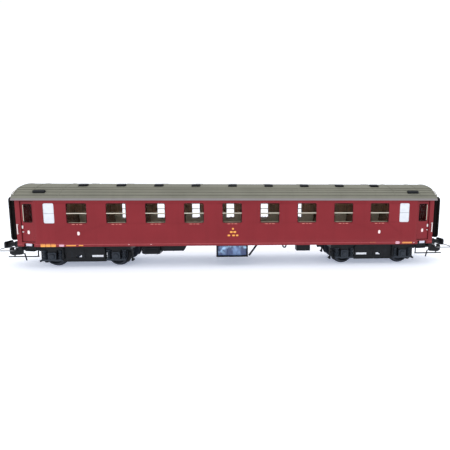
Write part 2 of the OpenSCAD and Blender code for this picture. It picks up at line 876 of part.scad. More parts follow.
coupler(1);  // coupler_right
coupler_loop(-1);  // coupler_loop_left
coupler_loop(1);  // coupler_loop_right
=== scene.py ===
"""The looks of a model railway coach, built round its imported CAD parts."""

import json
import math

import bmesh
import bpy
from mathutils import Matrix, Vector


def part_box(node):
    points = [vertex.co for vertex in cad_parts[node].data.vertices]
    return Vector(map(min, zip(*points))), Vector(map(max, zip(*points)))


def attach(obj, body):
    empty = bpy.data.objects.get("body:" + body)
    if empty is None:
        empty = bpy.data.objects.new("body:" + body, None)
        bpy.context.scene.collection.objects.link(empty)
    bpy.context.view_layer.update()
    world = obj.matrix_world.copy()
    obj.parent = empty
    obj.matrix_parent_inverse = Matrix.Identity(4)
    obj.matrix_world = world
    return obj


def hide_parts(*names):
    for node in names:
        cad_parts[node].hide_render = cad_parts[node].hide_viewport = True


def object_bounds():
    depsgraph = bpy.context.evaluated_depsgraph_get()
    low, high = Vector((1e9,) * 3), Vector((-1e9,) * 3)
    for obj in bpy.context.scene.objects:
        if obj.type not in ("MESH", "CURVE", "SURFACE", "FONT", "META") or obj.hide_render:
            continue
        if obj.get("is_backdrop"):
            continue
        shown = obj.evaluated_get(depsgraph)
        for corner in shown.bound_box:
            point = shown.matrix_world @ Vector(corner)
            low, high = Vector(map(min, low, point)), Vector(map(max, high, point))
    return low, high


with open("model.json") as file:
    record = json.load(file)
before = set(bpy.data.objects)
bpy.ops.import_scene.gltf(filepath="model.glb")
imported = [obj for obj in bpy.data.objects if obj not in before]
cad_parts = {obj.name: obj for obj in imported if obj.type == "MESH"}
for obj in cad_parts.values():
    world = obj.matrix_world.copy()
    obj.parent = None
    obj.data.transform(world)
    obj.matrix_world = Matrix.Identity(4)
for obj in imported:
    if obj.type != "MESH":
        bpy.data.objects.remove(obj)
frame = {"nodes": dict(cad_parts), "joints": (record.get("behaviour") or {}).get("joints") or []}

bl_info = {
    "name": "Model Railway Coach",
    "version": (1, 0, 0),
    "blender": (4, 5, 0),
    "location": "3D View > Sidebar > Coach",
    "description": "Dresses the packed parts of a compartment coach with its finishes and fine details",
    "category": "Object",
}

MM = 0.001
CAD_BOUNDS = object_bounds()
NEAR = -1
FAR = 1
LEFT = -1
RIGHT = 1
ENDS = (LEFT, RIGHT)
SIDES = (NEAR, FAR)
END_NAMES = {LEFT: "left", RIGHT: "right"}
SIDE_NAMES = {NEAR: "near", FAR: "far"}
X, Y, Z = range(3)


# ---- what the CAD parts say ------------------------------------------------


def cad_box(node):
    """The lowest and highest corners of a CAD node, in millimetres."""
    low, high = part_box(node)
    return low / MM, high / MM


def cad_solids(node):
    """The corners of each separate solid of a CAD node, in millimetres, from left to right."""
    mesh = frame["nodes"][node].data
    keys = [tuple(round(value / MM, 3) for value in vertex.co) for vertex in mesh.vertices]
    leader = {key: key for key in keys}

    def find(key):
        while leader[key] != key:
            leader[key] = leader[leader[key]]
            key = leader[key]
        return key

    for polygon in mesh.polygons:
        corners = [keys[index] for index in polygon.vertices]
        for corner in corners[1:]:
            leader[find(corner)] = find(corners[0])
    groups = {}
    for key in leader:
        groups.setdefault(find(key), []).append(key)
    boxes = []
    for group in groups.values():
        low = Vector([min(point[axis] for point in group) for axis in range(3)])
        high = Vector([max(point[axis] for point in group) for axis in range(3)])
        boxes.append((low, high))
    return sorted(boxes, key=lambda box: (round(box[0].x, 2), round(box[0].y, 2)))


def end_of(place):
    """The end of the coach that a place is at."""
    return LEFT if place.x < 0 else RIGHT


def side_of(place):
    """The side of the coach that a place is on."""
    return NEAR if place.y < 0 else FAR


def middle_of(low, high, first, second):
    """The middle of a box, along two of its axes."""
    return ((low[first] + high[first]) / 2, (low[second] + high[second]) / 2)


def joint_place(name):
    """Where a joint is, in millimetres."""
    for joint in frame["joints"]:
        if joint["name"] == name:
            return Vector(joint["pos_m"]) / MM
    raise KeyError(name)


SIDE_LOW, SIDE_HIGH = cad_box("side_near")
ROOF_LOW, ROOF_HIGH = cad_box("roof")
END_WALL_LOW, END_WALL_HIGH = cad_box("end_wall_right")
WALL = END_WALL_HIGH.x - END_WALL_LOW.x
HALF_WIDTH = -SIDE_LOW.y
END_X = SIDE_HIGH.x
STRAIGHT_HALF = cad_box("corridor_wall")[1].x
BODY_Z = SIDE_LOW.z
EAVE_Z = ROOF_LOW.z
RIDGE_Z = ROOF_HIGH.z
FLOOR_Z = cad_box("chassis")[0].z
AXLE_Z = joint_place("wheelset_1_spin").z
TAPER = math.atan2(HALF_WIDTH + SIDE_HIGH.y - WALL, END_X - STRAIGHT_HALF)
GUTTER = 0.25
ROOF_HALF = ROOF_HIGH.y - GUTTER
SHOULDER_RADIUS = 5.75
ROOF_RISE = RIDGE_Z - EAVE_Z
CROWN_RADIUS = ((ROOF_HALF - SHOULDER_RADIUS) ** 2 + ROOF_RISE**2 - SHOULDER_RADIUS**2) / (
    2 * (ROOF_RISE - SHOULDER_RADIUS)
)
CROWN_Z = RIDGE_Z - CROWN_RADIUS


def taper_point(along, inward, up, end, side):
    """A place on a tapered end of the body, from the start of the taper and its outer face."""
    x = STRAIGHT_HALF + along * math.cos(TAPER) - inward * math.sin(TAPER)
    y = HALF_WIDTH - along * math.sin(TAPER) - inward * math.cos(TAPER)
    return Vector((end * x, side * y, up))


def roof_point(y, lift=0.0):
    """The height of the roof's skin at y, and the direction that it faces there, as (y, z)."""
    meet = math.asin((ROOF_HALF - SHOULDER_RADIUS) / (CROWN_RADIUS - SHOULDER_RADIUS))
    reach = abs(y)
    if reach <= CROWN_RADIUS * math.sin(meet):
        angle = math.asin(reach / CROWN_RADIUS)
        centre = (0.0, CROWN_Z)
        radius = CROWN_RADIUS
    else:
        centre = (ROOF_HALF - SHOULDER_RADIUS, EAVE_Z)
        radius = SHOULDER_RADIUS
        angle = math.asin(min(1.0, (reach - centre[0]) / radius))
    side = 1 if y >= 0 else -1
    facing = Vector((side * math.sin(angle), math.cos(angle)))
    spot = Vector((side * centre[0], centre[1])) + facing * (radius + lift)
    return spot, facing


# ---- shapes ----------------------------------------------------------------


def at(axis, distance, first, second):
    """A point from a distance along one axis and two numbers across it."""
    if axis == "x":
        return Vector((distance, first, second))
    if axis == "y":
        return Vector((first, distance, second))
    return Vector((first, second, distance))


def rounded_rect(width, height, radius, centre=(0.0, 0.0), steps=5):
    """The outline of a rectangle with round corners."""
    points = []
    for corner, (right, top) in enumerate(((1, 1), (-1, 1), (-1, -1), (1, -1))):
        for step in range(steps + 1):
            angle = math.radians(90 * (corner + step / steps))
            across = centre[0] + right * (width / 2 - radius) + radius * math.cos(angle)
            up = centre[1] + top * (height / 2 - radius) + radius * math.sin(angle)
            points.append((across, up))
    return points


def circle(radius, sides, centre=(0.0, 0.0)):
    """The outline of a circle."""
    angles = [math.tau * step / sides for step in range(sides)]
    return [(centre[0] + radius * math.cos(a), centre[1] + radius * math.sin(a)) for a in angles]


class Shape:
    """Points and faces, in millimetres, that become one piece of the coach."""

    def __init__(self):
        self.points = []
        self.faces = []

    def add(self, points, faces):
        start = len(self.points)
        self.points.extend(Vector(point) for point in points)
        self.faces.extend([start + index for index in face] for face in faces)
        return self

    def join(self, other, place=None):
        """Adds a copy of another shape, with each point put through `place`."""
        points = [place(point) for point in other.points] if place else other.points
        return self.add(points, other.faces)

    def loft(self, rings, round_trip=False):
        """Joins rings of points with a skin, and closes its ends unless it comes back round."""
        count = len(rings[0])
        faces = []
        for index in range(len(rings) if round_trip else len(rings) - 1):
            here = index * count
            there = (index + 1) % len(rings) * count
            for step in range(count):
                after = (step + 1) % count
                faces.append([here + step, here + after, there + after, there + step])
        if not round_trip:
            last = (len(rings) - 1) * count
            faces.append(list(range(count))[::-1])
            faces.append([last + step for step in range(count)])
        return self.add([point for ring in rings for point in ring], faces)

    def prism(self, outline, axis, start, end, chamfer=0.0):
        """Runs an outline along an axis, with its ends drawn in a little if `chamfer` is given."""
        if not chamfer:
            return self.loft([[at(axis, d, a, b) for a, b in outline] for d in (start, end)])
        middle = [sum(point[i] for point in outline) / len(outline) for i in (0, 1)]
        reach = max(max(abs(point[i] - middle[i]) for point in outline) for i in (0, 1))
        shrink = 1 - chamfer / reach
        small = [[middle[i] + (point[i] - middle[i]) * shrink for i in (0, 1)] for point in outline]
        step = chamfer if end > start else -chamfer
        levels = ((start, small), (start + step, outline), (end - step, outline), (end, small))
        return self.loft([[at(axis, d, a, b) for a, b in ring] for d, ring in levels])

    def block(self, low, high):
        """A box from one corner to the opposite one; its edges are rounded by the piece's bevel."""
        outline = [(low[0], low[1]), (high[0], low[1]), (high[0], high[1]), (low[0], high[1])]
        return self.prism(outline, "z", low[2], high[2])

    def hollow(self, outer, inner, axis, start, end):
        """A prism with a hole through it."""
        levels = ((start, outer), (end, outer), (end, inner), (start, inner))
        return self.loft([[at(axis, d, a, b) for a, b in ring] for d, ring in levels], True)

    def lathe(self, profile, centre, axis="y", sides=32, round_trip=False):
        """Turns a profile of (distance, radius) about an axis through the centre."""
        rings = []
        for distance, radius in profile:
            turned = [at(axis, distance, a, b) for a, b in circle(radius, sides)]
            rings.append([Vector(centre) + point for point in turned])
        return self.loft(rings, round_trip)

    def tube(self, path, radius, sides=10, round_trip=False):
        """A round wire or pipe along a path."""
        path = [Vector(point) for point in path]
        count = len(path)
        rings = []
        across = None
        for index, point in enumerate(path):
            before = path[index - 1] if index or round_trip else point
            after = path[(index + 1) % count] if index < count - 1 or round_trip else point
            ahead = (after - before).normalized()
            if across is None:
                across = ahead.orthogonal().normalized()
            across = (across - ahead * across.dot(ahead)).normalized()
            up = ahead.cross(across)
            ring = [point + across * a + up * b for a, b in circle(radius, sides)]
            rings.append(ring)
        return self.loft(rings, round_trip)

    def piece(self, name, finish, slot, edge=0.0, smooth=38.0, body="coach_body"):
        """Makes the piece, and says which body it rides on and whose finish it takes."""
        mesh = bpy.data.meshes.new(name)
        mesh.from_pydata([point * MM for point in self.points], [], self.faces)
        builder = bmesh.new()
        builder.from_mesh(mesh)
        bmesh.ops.recalc_face_normals(builder, faces=builder.faces)
        builder.to_mesh(mesh)
        builder.free()
        mesh.materials.append(finish_named(finish))
        mesh.shade_smooth()
        result = bpy.data.objects.new(name, mesh)
        bpy.context.scene.collection.objects.link(result)
        if edge:
            round_edges(result, edge)
        else:
            mesh.set_sharp_from_angle(angle=math.radians(smooth))
        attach(result, body)
        return result


def round_edges(piece, edge, segments=2):
    """Rounds the sharp edges of a piece by a width in millimetres."""
    bevel = piece.modifiers.new("Rounded edges", "BEVEL")
    bevel.width = edge * MM
    bevel.segments = segments
    bevel.limit_method = "ANGLE"
    bevel.angle_limit = math.radians(32)
    bevel.harden_normals = True


def dress(node, finish, edge=0.0):
    """Gives a CAD part its finish and, if asked, rounded edges."""
    part = frame["nodes"][node]
    part.material_slots[0].material = finish_named(finish)
    if edge:
        weld = part.modifiers.new("Joined faces", "WELD")
        weld.merge_threshold = 0.002 * MM
        round_edges(part, edge)
    return part


def fillet(path, radius, steps=5):
    """Rounds the corners of a path of straight runs."""
    points = [Vector(point) for point in path]
    result = [points[0]]
    for before, corner, after in zip(points, points[1:], points[2:]):
        reach = min(radius, (before - corner).length / 2.01, (after - corner).length / 2.01)
        start = corner + (before - corner).normalized() * reach
        end = corner + (after - corner).normalized() * reach
        for step in range(steps + 1):
            t = step / steps
            result.append(start * (1 - t) ** 2 + corner * 2 * t * (1 - t) + end * t**2)
    return result + [points[-1]]


def helix(centre, radius, low, high, turns, steps=14):
    """The path of an upright coil spring, with flat first and last turns."""
    points = []
    count = int(turns * steps)
    for index in range(count + 1):
        t = index / count
        rise = min(1.0, max(0.0, (t * turns - 0.75) / (turns - 1.5)))
        angle = math.tau * turns * t
        offset = Vector((radius * math.cos(angle), radius * math.sin(angle), low + (high - low) * rise))
        points.append(Vector((centre[0], centre[1], 0.0)) + offset)
    return points


def stud(shape, place, axis, out, radius=0.2, height=0.14):
    """Adds a small domed bolt or rivet that stands `out` (1 or -1) along an axis."""
    profile = [(0.0, radius), (out * height * 0.55, radius * 0.95), (out * height * 0.9, radius * 0.6)]
    profile.append((out * height, radius * 0.2))
    shape.lathe(profile, place, axis, 8)


# ---- finishes --------------------------------------------------------------


def tint(red, green, blue):
    """A colour from its everyday 0 to 255 values."""
    parts = [value / 255 for value in (red, green, blue)]
    linear = [v / 12.92 if v <= 0.04045 else ((v + 0.055) / 1.055) ** 2.4 for v in parts]
    return (*linear, 1.0)


class Wire:
    """A value inside a finish, with the sums that add Math nodes."""

    def __init__(self, finish, socket):
        self.finish = finish
        self.socket = socket

    def maths(self, operation, first, second):
        return self.finish.node("ShaderNodeMath", {"operation": operation}, {0: first, 1: second})

    def __add__(self, other):
        return self.maths("ADD", self, other)

    def __radd__(self, other):
        return self.maths("ADD", other, self)

    def __sub__(self, other):
        return self.maths("SUBTRACT", self, other)

    def __rsub__(self, other):
        return self.maths("SUBTRACT", other, self)

    def __mul__(self, other):
        return self.maths("MULTIPLY", self, other)

    def __rmul__(self, other):
        return self.maths("MULTIPLY", other, self)


class Finish:
    """A material under construction: its nodes and its shader."""

    def __init__(self, name, **constants):
        self.material = bpy.data.materials.new(name)
        self.material.use_nodes = True
        self.tree = self.material.node_tree
        self.shader = self.tree.nodes["Principled BSDF"]
        for key, value in constants.items():
            self.shader.inputs[key.replace("_", " ").title().replace("Ior", "IOR")].default_value = value
        coordinates = self.node("ShaderNodeTexCoord", output="Object")
        scale = {"operation": "SCALE"}
        self.place = self.node("ShaderNodeVectorMath", scale, {"Vector": coordinates, "Scale": 1 / MM})

    def put(self, socket, value):
        if isinstance(value, Wire):
            self.tree.links.new(value.socket, socket)
        else:
            socket.default_value = value

    def node(self, kind, settings=None, sockets=None, output=0):
        """Adds any node: its settings first, then the values or wires of its sockets."""
        added = self.tree.nodes.new(kind)
        for key, value in (settings or {}).items():
            setattr(added, key, value)
        for key, value in (sockets or {}).items():
            self.put(added.inputs[key], value)
        return Wire(self, added.outputs[output])

    def axis(self, letter):
        """The position along an axis, in millimetres."""
        return self.node("ShaderNodeSeparateXYZ", None, {0: self.place}, letter)

    def noise(self, scale, detail=3.0, stretch=(1.0, 1.0, 1.0)):
        """Cloudy variation from 0 to 1; the scale counts its features in a millimetre."""
        place = self.place
        if stretch != (1.0, 1.0, 1.0):
            multiply = {"operation": "MULTIPLY"}
            place = self.node("ShaderNodeVectorMath", multiply, {0: self.place, 1: stretch})
        return self.node("ShaderNodeTexNoise", None, {"Vector": place, "Scale": scale, "Detail": detail})

    def cells(self, scale):
        """Distance to the nearest of many scattered spots."""
        return self.node("ShaderNodeTexVoronoi", None, {"Vector": self.place, "Scale": scale})

    def ramp(self, value, start, end):
        """A smooth step from 0 at `start` to 1 at `end`."""
        smooth = {"interpolation_type": "SMOOTHSTEP"}
        sockets = {"Value": value, "From Min": start, "From Max": end}
        return self.node("ShaderNodeMapRange", smooth, sockets)

    def blend(self, factor, first, second):
        """One colour turning into another."""
        return self.node("ShaderNodeMix", {"data_type": "RGBA"}, {0: factor, 6: first, 7: second}, 2)

    def colour(self, value):
        self.put(self.shader.inputs["Base Color"], value)

    def roughness(self, value):
        self.put(self.shader.inputs["Roughness"], value)

    def relief(self, height, depth, strength=1.0):
        """Raises the surface by a height from 0 to 1, `depth` millimetres deep."""
        sockets = {"Strength": strength, "Distance": depth * MM, "Height": height}
        self.put(self.shader.inputs["Normal"], self.node("ShaderNodeBump", None, sockets))


def shade(colour, amount):
    """A colour made darker or lighter."""
    return (*[min(1.0, channel * amount) for channel in tuple(colour)[:3]], 1.0)


def paint_finish(name, colour):
    """Satin coach paint: faint unevenness, a dusty lower edge and very fine orange peel."""
    finish = Finish(name, specular_ior_level=0.13, ior=1.46)
    clouds = finish.noise(0.05, 4.0)
    streaks = finish.noise(0.5, 3.0, (1.0, 1.0, 0.08))
    dust = 1 - finish.ramp(finish.axis("Z"), BODY_Z + 0.2, BODY_Z + 4.5)
    base = finish.blend(finish.ramp(clouds, 0.3, 0.7), shade(colour, 0.95), shade(colour, 1.06))
    worn = finish.blend(finish.ramp(streaks, 0.45, 0.75) * 0.16, base, shade(colour, 0.72))
    finish.colour(finish.blend(dust * 0.06 * finish.noise(0.8), worn, tint(190, 150, 140)))
    finish.roughness(0.4 + finish.noise(1.5) * 0.12)
    finish.relief(finish.noise(6.0, 2.0), 0.012, 0.35)
    return finish.material


def roof_finish(name, colour, eave_colour):
    """Matt roof grey with rain streaks, soot and a paler band along the eaves."""
    finish = Finish(name, specular_ior_level=0.3, ior=1.4)
    streaks = finish.noise(0.55, 4.0, (1.0, 0.12, 0.12))
    soot = finish.noise(0.06, 5.0)
    height = finish.axis("Z")
    base = finish.blend(finish.ramp(soot, 0.3, 0.75), shade(colour, 1.05), shade(colour, 0.9))
    rained = finish.blend(finish.ramp(streaks, 0.5, 0.8) * 0.22, base, shade(colour, 0.7))
    band = 1 - finish.ramp(height, EAVE_Z + 0.9, EAVE_Z + 1.3)
    finish.colour(finish.blend(band, rained, eave_colour))
    finish.roughness(0.62 + finish.noise(1.0) * 0.15)
    finish.relief(finish.noise(5.0, 3.0), 0.02, 0.4)
    return finish.material


def moulding_finish(name, colour, dust_colour, roughness=0.42):
    """Satin moulded plastic of the running gear, with dust that lies in patches."""
    finish = Finish(name, specular_ior_level=0.2, ior=1.5)
    patches = finish.noise(0.45, 5.0)
    grain = finish.noise(9.0, 2.0)
    dust = finish.ramp(patches, 0.52, 0.85) * 0.35
    finish.colour(finish.blend(dust, colour, dust_colour))
    finish.roughness(roughness + dust * 0.4 + grain * 0.08)
    finish.relief(grain, 0.02, 0.5)
    return finish.material


def rubber_finish(name, colour):
    """Matt rubber folds, a little chalky in patches."""
    finish = Finish(name, specular_ior_level=0.12, ior=1.45)
    chalk = finish.ramp(finish.noise(0.7, 5.0), 0.5, 0.9)
    finish.colour(finish.blend(chalk * 0.2, colour, tint(52, 50, 50)))
    finish.roughness(0.55 + chalk * 0.25)
    finish.relief(finish.noise(4.0, 4.0), 0.03, 0.4)
    return finish.material


def clear_finish(name, colour, cover):
    """Thin clear moulded panes: mostly see-through, with faint waviness and dust."""
    finish = Finish(name, specular_ior_level=0.25, ior=1.49)
    dust = finish.ramp(finish.noise(0.6, 4.0), 0.45, 0.9)
    finish.colour(finish.blend(dust * 0.4, colour, shade(colour, 1.6)))
    finish.roughness(0.04 + dust * 0.1)
    finish.put(finish.shader.inputs["Alpha"], cover + dust * 0.05)
    finish.relief(finish.noise(0.35, 1.0), 0.02, 0.12)
    return finish.material


def frosted_finish(name, colour):
    """Milky frosted panes with a fine grain."""
    finish = Finish(name, ior=1.49)
    grain = finish.cells(5.0)
    clouds = finish.noise(0.4, 3.0)
    finish.colour(finish.blend(finish.ramp(clouds, 0.3, 0.8), colour, shade(colour, 0.9)))
    finish.roughness(0.3 + grain * 0.15)
    finish.relief(grain, 0.02, 0.3)
    return finish.material


def metal_finish(name, colour, roughness, brushed, spots=0.25):
    """Bare or plated metal with fine tool marks and dull spots."""
    finish = Finish(name, metallic=1.0)
    marks = finish.noise(5.0, 3.0, brushed)
    dull = finish.ramp(finish.noise(0.8, 4.0), 0.5, 0.85)
    finish.colour(finish.blend(dull * spots, colour, shade(colour, 0.45)))
    finish.roughness(roughness + marks * 0.12 + dull * spots)
    finish.relief(marks, 0.01, 0.35)
    return finish.material


def blackened_finish(name, colour, worn_colour):
    """Chemically blackened wheel metal, brighter in worn patches."""
    finish = Finish(name, metallic=0.6)
    rings = finish.noise(3.0, 4.0)
    patches = finish.ramp(finish.noise(0.7, 4.0), 0.45, 0.8)
    finish.colour(finish.blend(patches * 0.45 + rings * 0.1, colour, worn_colour))
    finish.roughness(0.38 + rings * 0.16)
    finish.relief(rings, 0.015, 0.4)
    return finish.material


def partition_finish(name, colour, lower_colour, split):
    """Wood-printed wall panels, with a plain lower half below `split`."""
    finish = Finish(name, ior=1.45)
    grain = finish.noise(1.6, 5.0, (1.0, 1.0, 0.1))
    lower = 1 - finish.ramp(finish.axis("Z"), split - 0.2, split + 0.2)
    wood = finish.blend(finish.ramp(grain, 0.3, 0.75), shade(colour, 0.75), shade(colour, 1.25))
    plain = finish.blend(finish.noise(0.7, 3.0), shade(lower_colour, 0.92), shade(lower_colour, 1.08))
    finish.colour(finish.blend(lower, wood, plain))
    finish.roughness(0.5 + grain * 0.15)
    finish.relief(grain, 0.03, 0.3)
    return finish.material


def seat_finish(name, colour):
    """Woven seat cloth: crossing threads over a mottled brown."""
    finish = Finish(name, ior=1.4)
    thread = {"wave_type": "BANDS", "bands_direction": "Y"}
    rung = {"wave_type": "BANDS", "bands_direction": "Z"}
    warp = finish.node("ShaderNodeTexWave", thread, {"Vector": finish.place, "Scale": 1.1}, 1)
    weft = finish.node("ShaderNodeTexWave", rung, {"Vector": finish.place, "Scale": 1.1}, 1)
    weave = warp * 0.5 + weft * 0.5
    mottle = finish.noise(0.9, 4.0)
    finish.colour(finish.blend(weave * 0.5 + mottle * 0.4, shade(colour, 0.65), shade(colour, 1.35)))
    finish.roughness(0.7 + mottle * 0.15)
    finish.relief(weave, 0.04, 0.5)
    return finish.material


def battery_finish(name, dark, light):
    """Glossy cell covers whose blue is a painted reflection of the sky: cloudy pale patches, painted lighter
    towards their upper edge, with a painted highlight there.
    """
    finish = Finish(name, coat_weight=0.7, coat_roughness=0.08, ior=1.5)
    # Painted reflection: cloudy patches of pale sky blue over the deep blue.
    clouds = finish.ramp(finish.noise(0.2, 2.0, (1.0, 1.0, 0.7)), 0.42, 0.6)
    # Painted highlight: the covers turn lighter towards their upper edge.
    top = finish.ramp(finish.axis("Z"), FLOOR_Z - 8.0, FLOOR_Z - 4.2)
    middle = finish.blend(clouds * (0.25 + top * 0.6), dark, light)
    # Painted glint: near-white patches along the upper edge.
    painted_glint = finish.ramp(finish.noise(0.3, 2.0), 0.5, 0.68) * top
    finish.colour(finish.blend(painted_glint * 0.85, middle, shade(light, 1.9)))
    finish.roughness(0.12 + clouds * 0.1)
    finish.relief(clouds, 0.05, 0.4)
    return finish.material


def mark_finish(name, colour, under):
    """Thinly printed blank marks, a little patchy over the paint; the pale step plates take it too, as a
    painted highlight.
    """
    finish = Finish(name, ior=1.45)
    patches = finish.ramp(finish.noise(2.2, 3.0), 0.55, 0.8)
    finish.colour(finish.blend(patches * 0.35, colour, under))
    finish.roughness(0.4 + patches * 0.1)
    finish.relief(finish.noise(7.0, 2.0), 0.01, 0.3)
    return finish.material


def floor_finish(name, colour, glow):
    """A pale studio floor that is lit from below, with the faintest unevenness."""
    finish = Finish(name, ior=1.3, specular_ior_level=0.1, emission_color=glow, emission_strength=1.0)
    finish.colour(finish.blend(finish.noise(0.02, 2.0), colour, shade(colour, 0.99)))
    finish.roughness(0.6 + finish.noise(0.1) * 0.05)
    return finish.material


LOWER_WALL_TOP = 29.0
EVEN = (1.0, 1.0, 1.0)
ALONG_X = (0.1, 1.0, 1.0)
ALONG_Y = (1.0, 0.1, 1.0)
CABIN_DUST = tint(120, 112, 98)
YELLOW_UNDER = tint(190, 95, 55)

# Each row is a finish: its maker and what the maker takes. A word is one of the coach's colours, and a word
# with a number is that colour made darker or lighter.
FINISHES = {
    "paint": (paint_finish, "body"),
    # The ledge takes a paler red copy of the body paint: a painted highlight along it.
    "ledge": (paint_finish, "ledge"),
    "roof": (roof_finish, "roof", "eave"),
    # Roof ribs take a darker copy of the roof grey: painted shade along the ribs.
    "roof_rib": (roof_finish, ("roof", 0.72), "eave"),
    "charcoal": (moulding_finish, "charcoal", "dust"),
    # Springs and axlebox covers take a lighter blue-grey than the charcoal moulding: a painted highlight.
    "spring": (moulding_finish, "spring", "dust", 0.3),
    "vent": (moulding_finish, ("charcoal", 0.9), "dust", 0.55),
    "cabin_floor": (moulding_finish, "lower_wall", CABIN_DUST, 0.6),
    "bellows": (rubber_finish, "bellows"),
    "gasket": (rubber_finish, ("bellows", 1.3)),
    "clear": (clear_finish, "pane", "pane_cover"),
    "frosted": (frosted_finish, "frosted"),
    "pane_bar": (frosted_finish, ("frosted", 0.62)),
    "partition": (partition_finish, "partition", "partition", 0.0),
    "corridor": (partition_finish, "partition", "lower_wall", LOWER_WALL_TOP),
    "seat": (seat_finish, "seat"),
    # The cell covers take a painted reflection, from deep blue to pale blue.
    "battery": (battery_finish, "battery_dark", "battery_light"),
    "wheel": (blackened_finish, "wheel", "worn_wheel"),
    "axle": (metal_finish, "steel", 0.35, ALONG_Y),
    "ballast": (metal_finish, "steel", 0.45, ALONG_X, 0.4),
    "rail": (metal_finish, "rail", 0.32, ALONG_X, 0.1),
    "wire": (metal_finish, "wire", 0.22, EVEN, 0.15),
    # The step plates are pale: a painted highlight where the lit step tops show in the door recesses.
    "tread": (mark_finish, "tread", ("tread", 0.7)),
    "white": (mark_finish, "white", ("white", 0.8)),
    "white_mark": (mark_finish, "white_mark", "body"),
    "yellow_mark": (mark_finish, "yellow_mark", YELLOW_UNDER),
    "pink_mark": (mark_finish, "pink_mark", "body"),
    "dash_mark": (mark_finish, "dash_mark", "body"),
    "floor": (floor_finish, "floor", "floor_glow"),
}


def finish_value(value):
    """What a maker takes, from an entry of the table of finishes."""
    if isinstance(value, str):
        setting = getattr(bpy.context.scene.coach_colours, value)
        return setting if isinstance(setting, float) else tuple(setting)
    if isinstance(value, tuple) and isinstance(value[0], str):
        return shade(finish_value(value[0]), value[1])
    return value


def finish_named(name):
    """The finish with this name, made the first time that it is asked for."""
    title = "finish_" + name
    made = bpy.data.materials.get(title)
    if made:
        return made
    maker, *values = FINISHES[name]
    return maker(title, *[finish_value(value) for value in values])


# ---- sizes and colours that a user would change ------------------------------


def size_setting(name, description, default):
    """A length in metres, given here in millimetres."""
    return number_setting(name, description, default * MM, min=0.0, precision=5, unit="LENGTH")


def number_setting(name, description, default, **more):
    """A plain number, an angle or a power."""
    return bpy.props.FloatProperty(name=name, description=description, default=default, **more)


def colour_setting(name, description, default):
    """A colour."""
    return bpy.props.FloatVectorProperty(
        name=name, description=description, default=default, size=4, min=0.0, max=1.0, subtype="COLOR"
    )


class CoachSizes(bpy.types.PropertyGroup):
    """Sizes of the details that the CAD parts leave to this script."""

    shell_edge: size_setting("Shell edge", "Rounding of the body's sharp edges", 0.1)
    gear_edge: size_setting("Running gear edge", "Rounding of the sharp edges under the floor", 0.12)
    frame_width: size_setting("Window frame width", "Width of the frame round each pane", 0.26)
    ledge_height: size_setting("Ledge height", "Height of the ledge along the foot of the sides", 0.3)
    ledge_depth: size_setting("Ledge depth", "How far that ledge stands out", 0.18)
    rib_width: size_setting("Roof rib width", "Width of a rib on the roof", 0.42)
    rib_height: size_setting("Roof rib height", "Height of a rib on the roof", 0.2)
    bellows_depth: size_setting("Fold depth", "Depth of the folds of the gangway rings", 0.55)
    spring_wire: size_setting("Spring wire", "Radius of the wire of an axlebox spring", 0.27)
    stud_radius: size_setting("Bolt radius", "Radius of the bolts and rivets", 0.2)
    bellows_folds: bpy.props.IntProperty(
        name="Folds", description="Number of folds of a gangway ring", default=6, min=2, max=12
    )
    spring_turns: number_setting(
        "Spring turns", "Number of turns of an axlebox spring", 6.5, min=3.0, max=12.0
    )


class CoachColours(bpy.types.PropertyGroup):
    """Colours of the finishes."""

    body: colour_setting("Body", "Wine red of the body", tint(131, 42, 48))
    # The paler red is a painted highlight along the ledge.
    ledge: colour_setting("Ledge", "Paler red of the ledge", tint(178, 84, 90))
    roof: colour_setting("Roof", "Grey of the roof", tint(124, 123, 111))
    eave: colour_setting("Eave", "Band along the eaves", tint(140, 134, 135))
    charcoal: colour_setting("Charcoal", "Underframe and bogies", tint(21, 23, 26))
    dust: colour_setting("Dust", "Dust on the running gear", tint(50, 56, 66))
    # This lighter blue-grey is a painted highlight on the charcoal springs and covers.
    spring: colour_setting("Springs", "Axlebox springs and covers", tint(46, 52, 60))
    dash_mark: colour_setting("Dash marks", "Thin marks under the windows", tint(222, 138, 122))
    bellows: colour_setting("Bellows", "Gangway rings", tint(17, 13, 12))
    pane: colour_setting("Panes", "Faint tint of the clear panes", tint(74, 68, 60))
    frosted: colour_setting("Frosted panes", "Milky toilet panes", tint(224, 228, 234))
    rail: colour_setting("Window rail", "Bright rail across the windows", tint(206, 199, 182))
    partition: colour_setting("Partitions", "Compartment walls", tint(178, 138, 106))
    lower_wall: colour_setting("Lower wall", "Lower half of the corridor wall", tint(222, 208, 184))
    seat: colour_setting("Seats", "Seat cloth", tint(140, 112, 92))
    # The pale plates are a painted highlight in the step recesses.
    tread: colour_setting("Step treads", "Pale plates in the step recesses", tint(226, 224, 240))
    # The two battery colours are the ends of a painted reflection of the sky on the glossy covers.
    battery_dark: colour_setting("Battery, dark", "Dark part of the cell covers", tint(34, 58, 104))
    battery_light: colour_setting("Battery, light", "Light part of the cell covers", tint(130, 166, 214))
    wheel: colour_setting("Wheels", "Blackened wheels", tint(40, 44, 52))
    worn_wheel: colour_setting("Worn wheels", "Treads and flanges", tint(86, 90, 98))
    steel: colour_setting("Steel", "Axles and weight", tint(140, 141, 143))
    wire: colour_setting("Wire", "Coupler loops", tint(112, 112, 114))
    white: colour_setting("White trim", "Handrails and handles", tint(240, 236, 234))
    white_mark: colour_setting("White marks", "Blank white marks", tint(250, 226, 224))
    yellow_mark: colour_setting("Yellow marks", "Blank yellow marks", tint(246, 170, 74))
    pink_mark: colour_setting("Pale marks", "Blank pale marks", tint(236, 190, 208))
    floor: colour_setting("Floor", "Studio floor", tint(246, 246, 246))
    floor_glow: colour_setting("Floor glow", "Light that comes up through the floor", tint(150, 157, 174))
    pane_cover: number_setting(
        "Pane cover", "How much the clear panes hide", 0.03, min=0.0, max=1.0, subtype="FACTOR"
    )


